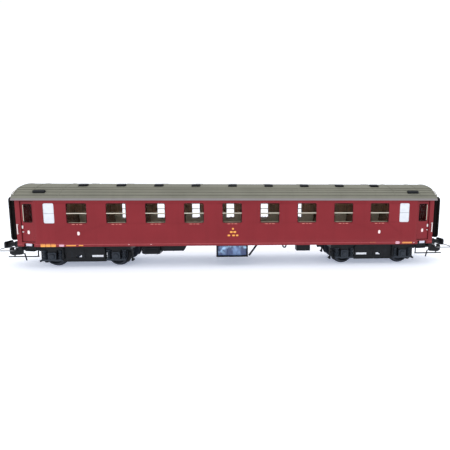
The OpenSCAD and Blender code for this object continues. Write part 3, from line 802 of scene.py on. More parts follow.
class CoachStage(bpy.types.PropertyGroup):
    """Camera and light."""

    camera_place: bpy.props.FloatVectorProperty(
        name="Camera", description="Place of the camera", default=(0.00506, -0.18358, 0.0478), precision=5,
        subtype="TRANSLATION", unit="LENGTH",
    )
    turn: number_setting(
        "Turn", "How far the camera turns to the right", math.radians(3.154), subtype="ANGLE"
    )
    dip: number_setting("Dip", "How far the camera looks down", math.radians(6.116), subtype="ANGLE")
    roll: number_setting("Roll", "How far the camera leans", math.radians(0.194), subtype="ANGLE")
    lens: number_setting(
        "Lens", "Focal length on a 36 mm wide frame", 24.231, min=5.0, subtype="DISTANCE_CAMERA"
    )
    shift: bpy.props.FloatVectorProperty(
        name="Shift", description="Shift of the lens, right and up", default=(-0.0733, -0.0223), size=2
    )
    sky: number_setting("Room light", "Strength of the even light of the room", 1.06, min=0.0)
    key: number_setting("Key light", "Power of the large soft lamp", 1.1, min=0.0, unit="POWER")


def sizes(name):
    """One of the sizes, in millimetres."""
    return getattr(bpy.context.scene.coach_sizes, name) / MM


# ---- the body --------------------------------------------------------------

DOOR_LOW, DOOR_HIGH = cad_solids("doors_near")[-1]
DOOR_RECESS = 0.5
DOOR_START = (DOOR_LOW.x - STRAIGHT_HALF + WALL * math.sin(TAPER)) / math.cos(TAPER)
DOOR_END = (DOOR_HIGH.x - STRAIGHT_HALF + DOOR_RECESS * math.sin(TAPER)) / math.cos(TAPER)
TAPER_LENGTH = (END_X - STRAIGHT_HALF) / math.cos(TAPER)
DOOR_MIDDLE = (DOOR_START + DOOR_END) / 2
TREAD_WIDTH = 3.6
TREAD_SHIFT = 0.5
TREAD_FRONT = 0.55
TREAD_BACK = 0.85
TREAD_LOW = BODY_Z + 0.2
TREAD_HIGH = BODY_Z + 1.65
LEDGE_Z = BODY_Z + 1.1
HINGE_HEIGHTS = (DOOR_LOW.z + 2.2, DOOR_LOW.z + 10.6, DOOR_HIGH.z - 2.0)
HINGE_PROFILE = (
    (-0.75, 0.14), (-0.65, 0.24), (-0.05, 0.24), (0.0, 0.2), (0.05, 0.24), (0.65, 0.24), (0.75, 0.14),
)
SEAL_GAP = 0.06
SEAL_WIDTH = 0.2


def on_taper(end, side):
    """Turns (along the taper, inward, up) into places at one of the four door ends."""
    return lambda point: taper_point(point.x, point.y, point.z, end, side)


def at_all_doors(shape, part):
    """Adds a part, drawn on the tapered face, at each of the four doors."""
    for end in ENDS:
        for side in SIDES:
            shape.join(part, on_taper(end, side))


PAINTED_NODES = (
    "side_near",
    "side_far",
    "end_wall_left",
    "end_wall_right",
    "doors_near",
    "doors_far",
    "end_doors",
)


class COACH_OT_shell(bpy.types.Operator):
    """Paint the body, and add its ledge, door hinges and door seals"""

    bl_idname = "coach.shell"
    bl_label = "Body shell"

    def execute(self, context):
        for node in PAINTED_NODES:
            dress(node, "paint", sizes("shell_edge"))
        dress("handrails", "white")
        dress("door_handles", "white", 0.08)
        self.add_ledge()
        self.add_door_details()
        return {"FINISHED"}

    def add_ledge(self):
        depth = sizes("ledge_depth")
        low = LEDGE_Z
        high = low + sizes("ledge_height")
        ledge = Shape()
        section = [(0.0, low), (-depth, low + 0.04), (-depth, high - 0.08), (0.0, high)]
        for side in SIDES:
            outline = [(side * (HALF_WIDTH - inward), up) for inward, up in section]
            ledge.prism(outline, "x", -STRAIGHT_HALF, STRAIGHT_HALF)
        for start, stop in ((0.0, DOOR_START - 0.05), (DOOR_END + 0.05, TAPER_LENGTH - 0.1)):
            ends = [[Vector((along, inward, up)) for inward, up in section] for along in (start, stop)]
            at_all_doors(ledge, Shape().loft(ends))
        # The ledge is painted paler red, as a highlight.
        ledge.piece("body_ledge", "ledge", "coach_red")

    def add_door_details(self):
        hinge = Shape()
        for up in HINGE_HEIGHTS:
            hinge.lathe(HINGE_PROFILE, (DOOR_START + 0.22, 0.3, up), "z", 10)
        hinges = Shape()
        at_all_doors(hinges, hinge)
        hinges.piece("door_hinges", "paint", "coach_red")
        seal = Shape()
        width = DOOR_END - DOOR_START - SEAL_GAP
        height = DOOR_HIGH.z - DOOR_LOW.z - SEAL_GAP
        middle = (DOOR_MIDDLE, (DOOR_LOW.z + DOOR_HIGH.z) / 2)
        outer = rounded_rect(width, height, 0.15, middle, 3)
        inner = rounded_rect(width - 2 * SEAL_WIDTH, height - 2 * SEAL_WIDTH, 0.15, middle, 3)
        seal.hollow(outer, inner, "y", DOOR_RECESS - 0.08, DOOR_RECESS + 0.02)
        seals = Shape()
        at_all_doors(seals, seal)
        seals.piece("door_seals", "gasket", "gangway_rubber")
        # Pale plates low in the door recesses: a painted highlight for the lit step tops.
        tread = Shape()
        middle = DOOR_MIDDLE + TREAD_SHIFT
        low = (middle - TREAD_WIDTH / 2, TREAD_FRONT, TREAD_LOW)
        high = (middle + TREAD_WIDTH / 2, TREAD_BACK, TREAD_HIGH)
        tread.block(low, high)
        treads = Shape()
        at_all_doors(treads, tread)
        treads.piece("step_treads", "tread", "white_trim", 0.1)


RIB_PLACES = (11.1, 13.2, 15.2, 16.5)
RIB_END_GAP = 0.9
RIB_SINK = -0.1
SEAM_PLACES = (92.0, 107.0)
SEAM_STEPS = 56
RIM_PLACE = END_X - 0.35
RIM_WIDTH = 0.5
RAIL_LOW = 16.3
RAIL_HIGH = 13.4
RAIL_ROOT = 0.05
RAIL_LIFT = 0.75


class COACH_OT_roof(bpy.types.Operator):
    """Make the roof's ribs, seams, end rims and grab rails"""

    bl_idname = "coach.roof"
    bl_label = "Roof"

    def execute(self, context):
        dress("roof", "roof", 0.06)
        self.add_ribs()
        self.add_seams()
        self.add_grab_rails()
        return {"FINISHED"}

    def add_ribs(self):
        width = sizes("rib_width")
        height = sizes("rib_height")
        for side in SIDES:
            ribs = Shape()
            for place in RIB_PLACES:
                outline = []
                for across, lift in ((-0.5, RIB_SINK), (-0.28, height), (0.28, height), (0.5, RIB_SINK)):
                    spot, _ = roof_point(side * (place + across * width * 0.8), lift)
                    outline.append((spot.x, spot.y))
                ribs.prism(outline, "x", RIB_END_GAP - END_X, END_X - RIB_END_GAP, 0.1)
            # The ribs' finish is painted darker, as shade along them.
            ribs.piece("roof_ribs_" + SIDE_NAMES[side], "roof_rib", "roof_grey")

    def add_seams(self):
        width = sizes("rib_width")
        height = sizes("rib_height") * 0.7
        reach = ROOF_HALF - 0.4
        for end in ENDS:
            seams = Shape()
            for place, wide in [(x, width) for x in SEAM_PLACES] + [(RIM_PLACE, RIM_WIDTH)]:
                rings = []
                for step in range(SEAM_STEPS + 1):
                    y = reach * math.sin(math.pi * (step / SEAM_STEPS - 0.5))
                    ring = []
                    for along, lift in ((-0.5, RIB_SINK), (-0.3, height), (0.3, height), (0.5, RIB_SINK)):
                        spot, _ = roof_point(y, lift)
                        ring.append((end * (place + along * wide), spot.x, min(spot.y, RIDGE_Z + height)))
                    rings.append(ring)
                seams.loft(rings)
            seams.piece("roof_seams_" + END_NAMES[end], "roof", "roof_grey")

    def add_grab_rails(self):
        rails = Shape()
        for end in ENDS:
            for side in SIDES:
                places = ((RAIL_LOW, RAIL_ROOT), (RAIL_LOW, RAIL_LIFT))
                places += ((RAIL_HIGH, RAIL_LIFT), (RAIL_HIGH, RAIL_ROOT))
                spots = [roof_point(side * y, lift)[0] for y, lift in places]
                bend = [(end * (END_X - 1.1), spot.x, spot.y) for spot in spots]
                rails.tube(fillet(bend, 0.6), 0.16, 8)
        rails.piece("roof_grab_rails", "white", "white_trim")


# Each row is a level of a hood: its height over the roof, how far it draws in, and its corner radius.
HOOD_LEVELS = (
    (-0.12, 0.0, 0.25),
    (0.12, 0.0, 0.25),
    (0.16, 0.22, 0.3),
    (0.46, 0.22, 0.3),
    (0.5, 0.05, 0.4),
    (0.68, 0.05, 0.4),
    (0.78, 0.16, 0.45),
    (0.82, 0.42, 0.45),
)
HOOD_WIDTH = 3.0
END_HOOD_WIDTH = 1.8
SLAT_HALF = 0.14
SLAT_LOW = 0.14
SLAT_HIGH = 0.5
SLAT_DEPTH = 0.3


class COACH_OT_vents(bpy.types.Operator):
    """Make the hooded ventilators along the roof"""

    bl_idname = "coach.vents"
    bl_label = "Roof ventilators"

    def execute(self, context):
        boxes = cad_solids("roof_vents")
        longest = max(high.x - low.x for low, high in boxes)
        hoods = {NEAR: Shape(), FAR: Shape()}
        for low, high in boxes:
            middle = (low + high) / 2
            length = high.x - low.x
            wide = END_HOOD_WIDTH if length > longest - 0.1 else HOOD_WIDTH
            self.add_hood(hoods[side_of(middle)], middle, length, wide)
        for side, hood in hoods.items():
            hood.piece("ventilators_" + SIDE_NAMES[side], "vent", "charcoal")
        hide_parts("roof_vents")
        return {"FINISHED"}

    def add_hood(self, hoods, middle, length, wide):
        angle = math.atan2(middle.y, middle.z - CROWN_Z)

        def place(point):
            up = CROWN_RADIUS + point.z
            y = up * math.sin(angle) + point.y * math.cos(angle)
            z = CROWN_Z + up * math.cos(angle) - point.y * math.sin(angle)
            return Vector((middle.x + point.x, y, z))

        hood = Shape()
        rings = []
        for up, inset, corner in HOOD_LEVELS:
            ring = rounded_rect(length - 2 * inset, wide - 2 * inset, corner, steps=4)
            rings.append([Vector((a, b, up)) for a, b in ring])
        hood.loft(rings)
        slats = 5 if wide == HOOD_WIDTH else 7
        for index in range(slats):
            x = (index + 0.5) / slats * (length - 1.0) - (length - 1.0) / 2
            for side in SIDES:
                edge = side * (wide / 2 - 0.12)
                low, high = sorted((edge, edge - side * SLAT_DEPTH))
                hood.block((x - SLAT_HALF, low, SLAT_LOW), (x + SLAT_HALF, high, SLAT_HIGH))
        hoods.join(hood, place)


def window_frame(width, height, corner, centre, front, back):
    """The frame round a pane, drawn in (X, Z)."""
    rim = sizes("frame_width")
    outer = rounded_rect(width, height, corner, centre)
    inner = rounded_rect(width - 2 * rim, height - 2 * rim, corner * 0.75, centre)
    return Shape().hollow(outer, inner, "y", front, back)


PANE_RECESS = 0.25
FRAME_STAND = 0.17
DOOR_PANE_SHIFT = 0.14
DOOR_FRAME_MARGIN = 0.3
STRIP_BACK = 0.32


class COACH_OT_windows(bpy.types.Operator):
    """Glaze the windows, and make their frames, rails and the bars of the frosted panes"""

    bl_idname = "coach.windows"
    bl_label = "Windows"

    def execute(self, context):
        for side in SIDES:
            node = "glazing_" + SIDE_NAMES[side]
            dress(node, "clear")
            self.add_frames(side, cad_solids(node))
        dress("frosted_panes", "frosted")
        dress("window_rails", "rail", 0.06)
        self.add_frosted_bars()
        return {"FINISHED"}

    def add_frames(self, side, panes):
        large = [pane for pane in panes if pane[1].x < STRAIGHT_HALF and pane[0].x > -STRAIGHT_HALF]
        frames = Shape()
        for low, high in large:
            face = side * (HALF_WIDTH - PANE_RECESS)
            centre = middle_of(low, high, X, Z)
            front = face + side * FRAME_STAND
            frames.join(window_frame(high.x - low.x, high.z - low.z, 0.8, centre, face, front))
        name = "window_frames_" + SIDE_NAMES[side]
        frames.piece(name, "gasket", "gangway_rubber")
        low, high = [pane for pane in panes if pane[0].x > STRAIGHT_HALF][0]
        width = (high.x - low.x) / math.cos(TAPER)
        middle = ((low.x + high.x) / 2 - STRAIGHT_HALF) / math.cos(TAPER) + DOOR_PANE_SHIFT
        centre = (middle, (low.z + high.z) / 2)
        wide = width + DOOR_FRAME_MARGIN
        tall = high.z - low.z + DOOR_FRAME_MARGIN
        frame_part = window_frame(wide, tall, 0.85, centre, DOOR_RECESS - 0.12, DOOR_RECESS + 0.05)
        edge = middle + width / 2
        strip = Shape()
        strip_low = (edge - STRIP_BACK, DOOR_RECESS - 0.14, low.z + 0.5)
        strip.block(strip_low, (edge + 0.02, DOOR_RECESS + 0.02, high.z - 0.4))
        gaskets = Shape()
        metal = Shape()
        for end in ENDS:
            gaskets.join(frame_part, on_taper(end, side))
            metal.join(strip, on_taper(end, side))
        name = "door_window_frames_" + SIDE_NAMES[side]
        gaskets.piece(name, "gasket", "gangway_rubber")
        name = "door_window_strips_" + SIDE_NAMES[side]
        metal.piece(name, "rail", "window_metal", 0.05)

    def add_frosted_bars(self):
        bars = Shape()
        for low, high in cad_solids("frosted_panes"):
            side = side_of(low)
            face = side * (HALF_WIDTH - PANE_RECESS)
            up = (low.z + high.z) / 2
            crest = face + side * 0.12
            outline = [(face, up - 0.16), (crest, up - 0.1), (crest, up + 0.1), (face, up + 0.16)]
            bars.prism(outline, "x", low.x, high.x)
        bars.piece("frosted_bars", "pane_bar", "frosted_pane")


# The side of a bench, from its back outwards and from the floor upwards.
BENCH_OUTLINE = (
    (0.1, 0.0), (4.9, 0.0), (5.15, 3.4), (5.45, 4.2), (5.4, 4.8), (4.9, 5.15),
    (3.9, 5.2), (3.0, 4.95), (2.7, 5.2), (2.5, 6.6), (2.15, 9.4), (2.0, 10.4),
    (2.05, 11.4), (1.75, 12.5), (1.2, 12.95), (0.6, 12.95), (0.1, 12.7),
)
BENCH_SEATS = 3
SEAM_SCALE = 0.93
NEAR_SEAM_SCALE = 0.985
SKIRT_TOP = 3
CORRIDOR_RAIL_END = STRAIGHT_HALF - 12
CORRIDOR_RAIL_RISE = 1.7


class COACH_OT_cabin(bpy.types.Operator):
    """Make the benches, sills and corridor rail, and finish the inner walls"""

    bl_idname = "coach.cabin"
    bl_label = "Compartments"

    def execute(self, context):
        dress("compartment_walls", "partition", 0.08)
        dress("corridor_wall", "corridor", 0.08)
        dress("cabin_floor", "cabin_floor", 0.08)
        dress("ballast_weight", "ballast", 0.1)
        self.add_benches()
        self.add_trim()
        return {"FINISHED"}

    def add_benches(self):
        benches = Shape()
        for index, (low, high) in enumerate(cad_solids("seats")):
            back, facing = (low.x, 1) if index % 2 == 0 else (high.x, -1)
            wide = (high.y - low.y) / BENCH_SEATS
            steps = ((0.0, SEAM_SCALE), (0.25, NEAR_SEAM_SCALE), (0.7, 1.0))
            steps += ((wide - 0.7, 1.0), (wide - 0.25, NEAR_SEAM_SCALE))
            rings = []
            for seat in range(BENCH_SEATS):
                start = low.y + seat * wide
                for along, scale in steps:
                    rings.append(self.section(back, facing, start + along, low.z, scale))
            rings.append(self.section(back, facing, high.y, low.z, SEAM_SCALE))
            benches.loft(rings)
        piece = benches.piece("benches", "seat", "seat_brown", smooth=60.0)
        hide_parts("seats")

    def section(self, back, facing, y, floor, scale):
        """The bench's outline at one place along it, drawn in at the seams between its seats."""
        ring = []
        for depth, up in BENCH_OUTLINE:
            rise = up * scale if up > SKIRT_TOP else up
            ring.append((back + facing * depth * scale, y, floor + rise))
        return ring

    def add_trim(self):
        near_windows = [box for box in cad_solids("window_rails") if box[0].y < 0]
        window_low = cad_solids("glazing_near")[1][0].z
        wall = WALL - HALF_WIDTH
        sills = Shape()
        for low, high in near_windows:
            outline = [(wall + 0.05, window_low - 0.7), (wall + 0.75, window_low - 0.7)]
            outline += [(wall + 0.75, window_low + 0.2), (wall + 0.6, window_low + 0.36)]
            outline.append((wall + 0.05, window_low + 0.36))
            sills.prism(outline, "x", low.x - 0.3, high.x + 0.3, 0.05)
        sills.piece("window_sills", "cabin_floor", "cabin_beige", 0.06)
        rail = Shape()
        y = HALF_WIDTH - 2.0
        up = window_low + CORRIDOR_RAIL_RISE
        rail.tube([(-CORRIDOR_RAIL_END, y, up), (0.0, y, up), (CORRIDOR_RAIL_END, y, up)], 0.2, 10)
        for low, high in cad_solids("compartment_walls"):
            x = (low.x + high.x) / 2
            if abs(x) < CORRIDOR_RAIL_END:
                rail.tube([(x, y, up), (x, HALF_WIDTH - WALL - 0.02, up)], 0.14, 8)
        rail.piece("corridor_rail", "rail", "window_metal")


# ---- the ends ----------------------------------------------------------------


BELLOWS_PLATE = 1.0
BELLOWS_INNER = 1.5
BELLOWS_RIM = 2.0


END_PANE_WIDTH = 4.5
END_PANE_HEIGHT = 6.9
END_PANE_DROP = 6.0 - 0.04
GRIP_PLACE = -3.2
GRIP_STAND = 0.32
GRIP_LOW = 9.0
GRIP_HIGH = 11.4


class COACH_OT_gangways(bpy.types.Operator):
    """Make the folded gangway rings and the panes of the end doors"""

    bl_idname = "coach.gangways"
    bl_label = "Gangways"

    def execute(self, context):
        for end in ENDS:
            self.add_bellows(end)
        self.add_end_door_panes()
        return {"FINISHED"}

    def add_bellows(self, end):
        node = "gangway_" + END_NAMES[end]
        low, high = cad_box(node)
        centre = (0.0, (low.z + high.z) / 2)
        width = high.y - low.y
        height = high.z - low.z
        length = high.x - low.x
        start = low.x if end > 0 else high.x
        folds = bpy.context.scene.coach_sizes.bellows_folds
        depth = sizes("bellows_depth")
        plate = length - BELLOWS_PLATE
        pitch = plate / folds
        outer = [(0.0, depth * 0.5)]
        inner = [(0.0, 1.6)]
        shoulder = depth * 0.35
        fold_parts = ((0.12, depth), (0.38, shoulder), (0.5, 0.08), (0.62, shoulder), (0.88, depth))
        for fold in range(folds):
            for part, inset in fold_parts:
                outer.append(((fold + part) * pitch, inset))
                inner.append(((fold + part) * pitch, BELLOWS_INNER + 0.35 * (1 - inset / depth)))
        outer += [(plate, 0.2), (plate, 0.0), (length - 0.15, 0.0), (length, 0.12)]
        inner += [(plate, BELLOWS_RIM), (length, BELLOWS_RIM)]
        rings = []
        for distance, inset in outer + inner[::-1]:
            corner = max(0.9, 2.2 - inset * 0.6)
            ring = rounded_rect(width - 2 * inset, height - 2 * inset, corner, centre, 6)
            rings.append([at("x", start + end * distance, a, b) for a, b in ring])
        bellows = Shape().loft(rings, True)
        name = "bellows_" + END_NAMES[end]
        piece = bellows.piece(name, "bellows", "gangway_rubber", smooth=50.0)
        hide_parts(node)

    def add_end_door_panes(self):
        panes = Shape()
        rims = Shape()
        for low, high in cad_solids("end_doors"):
            end = end_of(low)
            centre = (0.0, high.z - END_PANE_DROP)
            face = low.x + 0.2 if end > 0 else high.x - 0.2
            outline = rounded_rect(END_PANE_WIDTH, END_PANE_HEIGHT, 0.8, centre)
            panes.prism(outline, "x", face, face + end * 0.4)
            inner = rounded_rect(END_PANE_WIDTH - 0.3, END_PANE_HEIGHT - 0.3, 0.7, centre)
            outer = rounded_rect(END_PANE_WIDTH + 0.5, END_PANE_HEIGHT + 0.5, 1.0, centre)
            outside = high.x if end > 0 else low.x
            rims.hollow(outer, inner, "x", outside - end * 0.3, outside + end * 0.1)
            stand = outside + end * GRIP_STAND
            bends = ((outside, GRIP_LOW), (stand, GRIP_LOW), (stand, GRIP_HIGH), (outside, GRIP_HIGH))
            grip = [(x, GRIP_PLACE, low.z + up) for x, up in bends]
            rims.tube(fillet(grip, 0.25), 0.13, 8)
        panes.piece("end_door_panes", "clear", "clear_pane")
        rims.piece("end_door_trim", "rail", "window_metal")


# Each row is a level of a buffer's head: its distance behind the face, how far it draws in, and its corner.
BUFFER_HEAD = (
    (1.3, 1.0, 0.6),
    (1.15, 0.25, 0.85),
    (1.0, 0.0, 0.9),
    (0.32, 0.0, 0.9),
    (0.12, 0.14, 0.9),
    (0.0, 0.6, 0.8),
)
BOLT_PLACES = (2.8, 4.6, 7.4, 12.4)
SOCKET_PLACE = 5.8


class COACH_OT_buffers(bpy.types.Operator):
    """Turn the buffers and add the bolts of the headstocks"""

    bl_idname = "coach.buffers"
    bl_label = "Buffers and headstocks"

    def execute(self, context):
        dress("headstocks", "charcoal", sizes("gear_edge"))
        buffers = Shape()
        for low, high in cad_solids("buffers"):
            self.add_buffer(buffers, low, high)
        piece = buffers.piece("buffers_turned", "charcoal", "charcoal")
        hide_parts("buffers")
        self.add_bolts()
        return {"FINISHED"}

    def add_buffer(self, buffers, low, high):
        end = end_of(high)
        root = low.x if end > 0 else high.x
        centre = Vector((root, (low.y + high.y) / 2, (low.z + high.z) / 2))
        length = high.x - low.x
        profile = [(0.0, 1.9), (0.3, 1.9), (0.38, 1.7), (2.5, 1.55), (2.6, 1.72), (3.05, 1.72), (3.1, 1.2)]
        profile += [(length - 1.5, 1.15), (length - 1.2, 1.5), (length - 0.9, 1.5)]
        turned = [(end * distance, radius) for distance, radius in profile]
        buffers.lathe(turned, centre, "x", 28)
        rings = []
        wide = high.y - low.y
        tall = high.z - low.z
        for back, inset, corner in BUFFER_HEAD:
            ring = rounded_rect(wide - 2 * inset, tall - 2 * inset, corner, (centre.y, centre.z))
            rings.append([at("x", root + end * (length - back), a, b) for a, b in ring])
        buffers.loft(rings)

    def add_bolts(self):
        bolts = Shape()
        for low, high in cad_solids("headstocks"):
            end = end_of(low)
            face = high.x if end > 0 else low.x
            for y in sorted(side * place for side in SIDES for place in BOLT_PLACES):
                for z in (low.z + 0.7, high.z - 0.7):
                    stud(bolts, (face, y, z), "x", end, sizes("stud_radius"))
            socket = [(0.0, 0.5), (end * 0.5, 0.5), (end * 0.6, 0.42), (end * 0.6, 0.3), (end * 0.3, 0.25)]
            for y in (-SOCKET_PLACE, SOCKET_PLACE):
                bolts.lathe(socket, (face, y, low.z + 1.5), "x", 12)
        bolts.piece("headstock_bolts", "charcoal", "charcoal")


class COACH_OT_couplers(bpy.types.Operator):
    """Finish the loop couplers and bend their wire loops"""

    bl_idname = "coach.couplers"
    bl_label = "Couplers"

    def execute(self, context):
        for end in ENDS:
            name = END_NAMES[end]
            dress("coupler_" + name, "charcoal", 0.1)
            low, high = cad_box("coupler_loop_" + name)
            wire = (high.z - low.z) / 2
            centre = middle_of(low, high, X, Y)
            outline = rounded_rect(high.x - low.x - 2 * wire, high.y - low.y - 2 * wire, 1.3, centre, 6)
            path = [(x, y, (low.z + high.z) / 2) for x, y in outline]
            loop = Shape().tube(path, wire, 12, True)
            piece = loop.piece("wire_loop_" + name, "wire", "loop_wire", body="loop_%s_body" % name)
            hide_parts("coupler_loop_" + name)
        dress("coupler_posts", "charcoal")
        return {"FINISHED"}


# ---- under the floor -----------------------------------------------------------


CELLS = 3
CELL_RIM = 0.8
CELL_FRAME_DEPTH = 0.9
CELL_TOP_GAP = 2.2
# Each row is a level of a cell's cover: how far it is behind the frame, and how far it draws in.
CELL_LEVELS = ((0.86, 0.02), (0.5, 0.02), (0.38, 0.14), (0.34, 0.5), (0.27, 1.0))
LATCH_INSET = 3.4
PIPE_PLACES = (-3.2, 1.4, 3.6)
PIPE_REACH = 52.0
HANGER_REACH = 44
HANGER_PITCH = 8
HANGER_NEAR = -4.2
HANGER_FAR = 4.6


def panel_outline(low, high, inset, top_inset):
    """A box's face as an outline in (X, Z), drawn in from its edges."""
    left = low.x + inset
    right = high.x - inset
    foot = low.z + inset
    top = high.z - top_inset
    return [(left, foot), (right, foot), (right, top), (left, top)]


class COACH_OT_underfloor(bpy.types.Operator):
    """Make the battery boxes, brake cylinders, pipes and straps under the floor"""

    bl_idname = "coach.underfloor"
    bl_label = "Under the floor"

    def execute(self, context):
        edge = sizes("gear_edge")
        for node in ("chassis", "ribbed_box", "side_tank", "equipment_box", "steps"):
            dress(node, "charcoal", edge)
        for node in ("battery_stay", "lifting_rings", "pivot_bosses"):
            dress(node, "charcoal")
        self.add_battery_boxes()
        self.add_brake_cylinders()
        self.add_fittings()
        return {"FINISHED"}

    def add_battery_boxes(self):
        frames = Shape()
        covers = Shape()
        latches = Shape()
        for low, high in cad_solids("battery_box"):
            side = side_of(low)
            face = low.y if side < 0 else high.y
            back = high.y if side < 0 else low.y
            inward = -side
            depth = face + inward * CELL_FRAME_DEPTH
            top = high.z - CELL_TOP_GAP
            middle = ((low.x + high.x) / 2, (low.z + CELL_RIM + top) / 2)
            hole = (high.x - low.x - 2 * CELL_RIM, top - low.z - CELL_RIM)
            outer = panel_outline(low, high, 0.0, 0.0)
            inner = panel_outline(low, high, CELL_RIM, CELL_TOP_GAP)
            frames.hollow(outer, inner, "y", face, depth)
            frames.block((low.x, min(depth, back), low.z), (high.x, max(depth, back), high.z))
            width = hole[0] / CELLS
            for index in range(CELLS):
                centre = (middle[0] + (index - (CELLS - 1) / 2) * width, middle[1])
                rings = []
                for behind, inset in CELL_LEVELS:
                    ring = rounded_rect(width - 2 * inset, hole[1] - 2 * inset, 0.45, centre, 4)
                    rings.append([at("y", face + inward * behind, a, b) for a, b in ring])
                covers.loft(rings)
            for x in (low.x + LATCH_INSET, middle[0], high.x - LATCH_INSET):
                hinge = [(-0.6, 0.16), (-0.5, 0.24), (0.5, 0.24), (0.6, 0.16)]
                latches.lathe(hinge, (x, face + inward * 0.26, top + 0.35), "x", 8)
                front, rear = sorted((face, face + inward * 0.2))
                latches.block((x - 0.3, front, low.z + 0.15), (x + 0.3, rear, low.z + 0.6))
        boxes = frames.piece("battery_cases", "charcoal", "charcoal", 0.1)
        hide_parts("battery_box")
        # The covers' blue is a painted reflection.
        covers.piece("battery_covers", "battery", "battery_blue")
        latches.piece("battery_latches", "charcoal", "charcoal", 0.05)

    def add_brake_cylinders(self):
        cylinders = Shape()
        for low, high in cad_solids("brake_cylinders"):
            end = end_of(high)
            front = high.x if end > 0 else low.x
            centre = Vector((front, (low.y + high.y) / 2, low.z + 1.3))
            length = high.x - low.x
            profile = [(0.0, 0.3), (0.1, 0.42), (1.2, 0.42), (1.25, 0.7), (1.4, 0.75), (1.5, 1.28)]
            profile += [(1.75, 1.3), (1.8, 1.14), (length - 0.8, 1.14), (length - 0.75, 1.3)]
            profile += [(length - 0.5, 1.3), (length - 0.3, 1.05), (length, 0.45)]
            cylinders.lathe([(-end * distance, radius) for distance, radius in profile], centre, "x", 24)
            for offset in (1.9, 2.9):
                x = front - end * offset
                strap_low = (x - 0.25, centre.y - 0.5, centre.z + 0.9)
                cylinders.block(strap_low, (x + 0.25, centre.y + 0.5, high.z))
        piece = cylinders.piece("brake_cylinders_turned", "charcoal", "charcoal")
        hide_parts("brake_cylinders")

    def add_fittings(self):
        pipes = Shape()
        up = FLOOR_Z - 0.55
        for y in PIPE_PLACES:
            reach = PIPE_REACH - abs(y)
            route = [(-reach, y, up + 0.4), (-reach + 2, y, up), (reach - 2, y, up), (reach, y, up + 0.4)]
            pipes.tube(fillet(route, 1.0), 0.3, 8)
        top = FLOOR_Z - 0.05
        foot = FLOOR_Z - 1.0
        outline = [(HANGER_NEAR, top), (HANGER_NEAR, foot), (HANGER_FAR, foot), (HANGER_FAR, top)]
        for x in range(-HANGER_REACH, HANGER_REACH + 1, HANGER_PITCH):
            pipes.prism(outline, "x", x - 0.25, x + 0.25)
        pipes.piece("floor_pipes", "charcoal", "charcoal")
        bands = Shape()
        low, high = cad_box("ribbed_box")
        for x in (low.x + 1.4, high.x - 1.4):
            bands.block((x - 0.3, low.y - 0.16, low.z - 0.12), (x + 0.3, low.y + 0.1, high.z))
            stud(bands, (x, low.y - 0.16, low.z + 0.5), "y", -1, 0.16, 0.1)
        low, high = cad_box("side_tank")
        for x in (low.x + 2.4, low.x + 7.2):
            bands.block((x - 0.25, low.y - 0.14, low.z - 0.12), (x + 0.25, high.y + 0.14, high.z - 0.05))
        low, high = cad_box("equipment_box")
        outer = panel_outline(low, high, 0.4, 0.9)
        inner = panel_outline(low, high, 0.7, 1.2)
        bands.hollow(outer, inner, "y", low.y - 0.12, low.y + 0.1)
        for x in (low.x + 1.6, high.x - 1.6):
            stud(bands, (x, low.y, low.z + 1.3), "y", -1, 0.2, 0.2)
        bands.piece("box_straps", "charcoal", "charcoal", 0.05)


# ---- bogies and wheels -----------------------------------------------------------


# Each row is a place on an axlebox cover: its distance from the frame's face, and its radius.
CAP_PROFILE = (
    (0.5, 1.45), (0.86, 1.4), (0.95, 1.25), (1.1, 1.15), (1.22, 0.8), (1.2, 0.35), (1.3, 0.12),
)
COVER_LEVELS = ((0.02, 0.0), (0.6, 0.0), (0.72, 0.12), (0.72, 0.5), (0.62, 0.62))
COVER_WIDTH = 4.4
COVER_HEIGHT = 4.6
SPRING_OFFSET = 4.3
SPRING_RADIUS = 1.15
SPRING_FOOT = AXLE_Z - 1.75
SPRING_HEAD = AXLE_Z + 3.35
BEAM_Z = AXLE_Z + 4.4
RIVETS = 12
RIVET_PITCH = 4.2
DAMPER_OFFSET = 11.2
RIB_OFFSET = 11.1


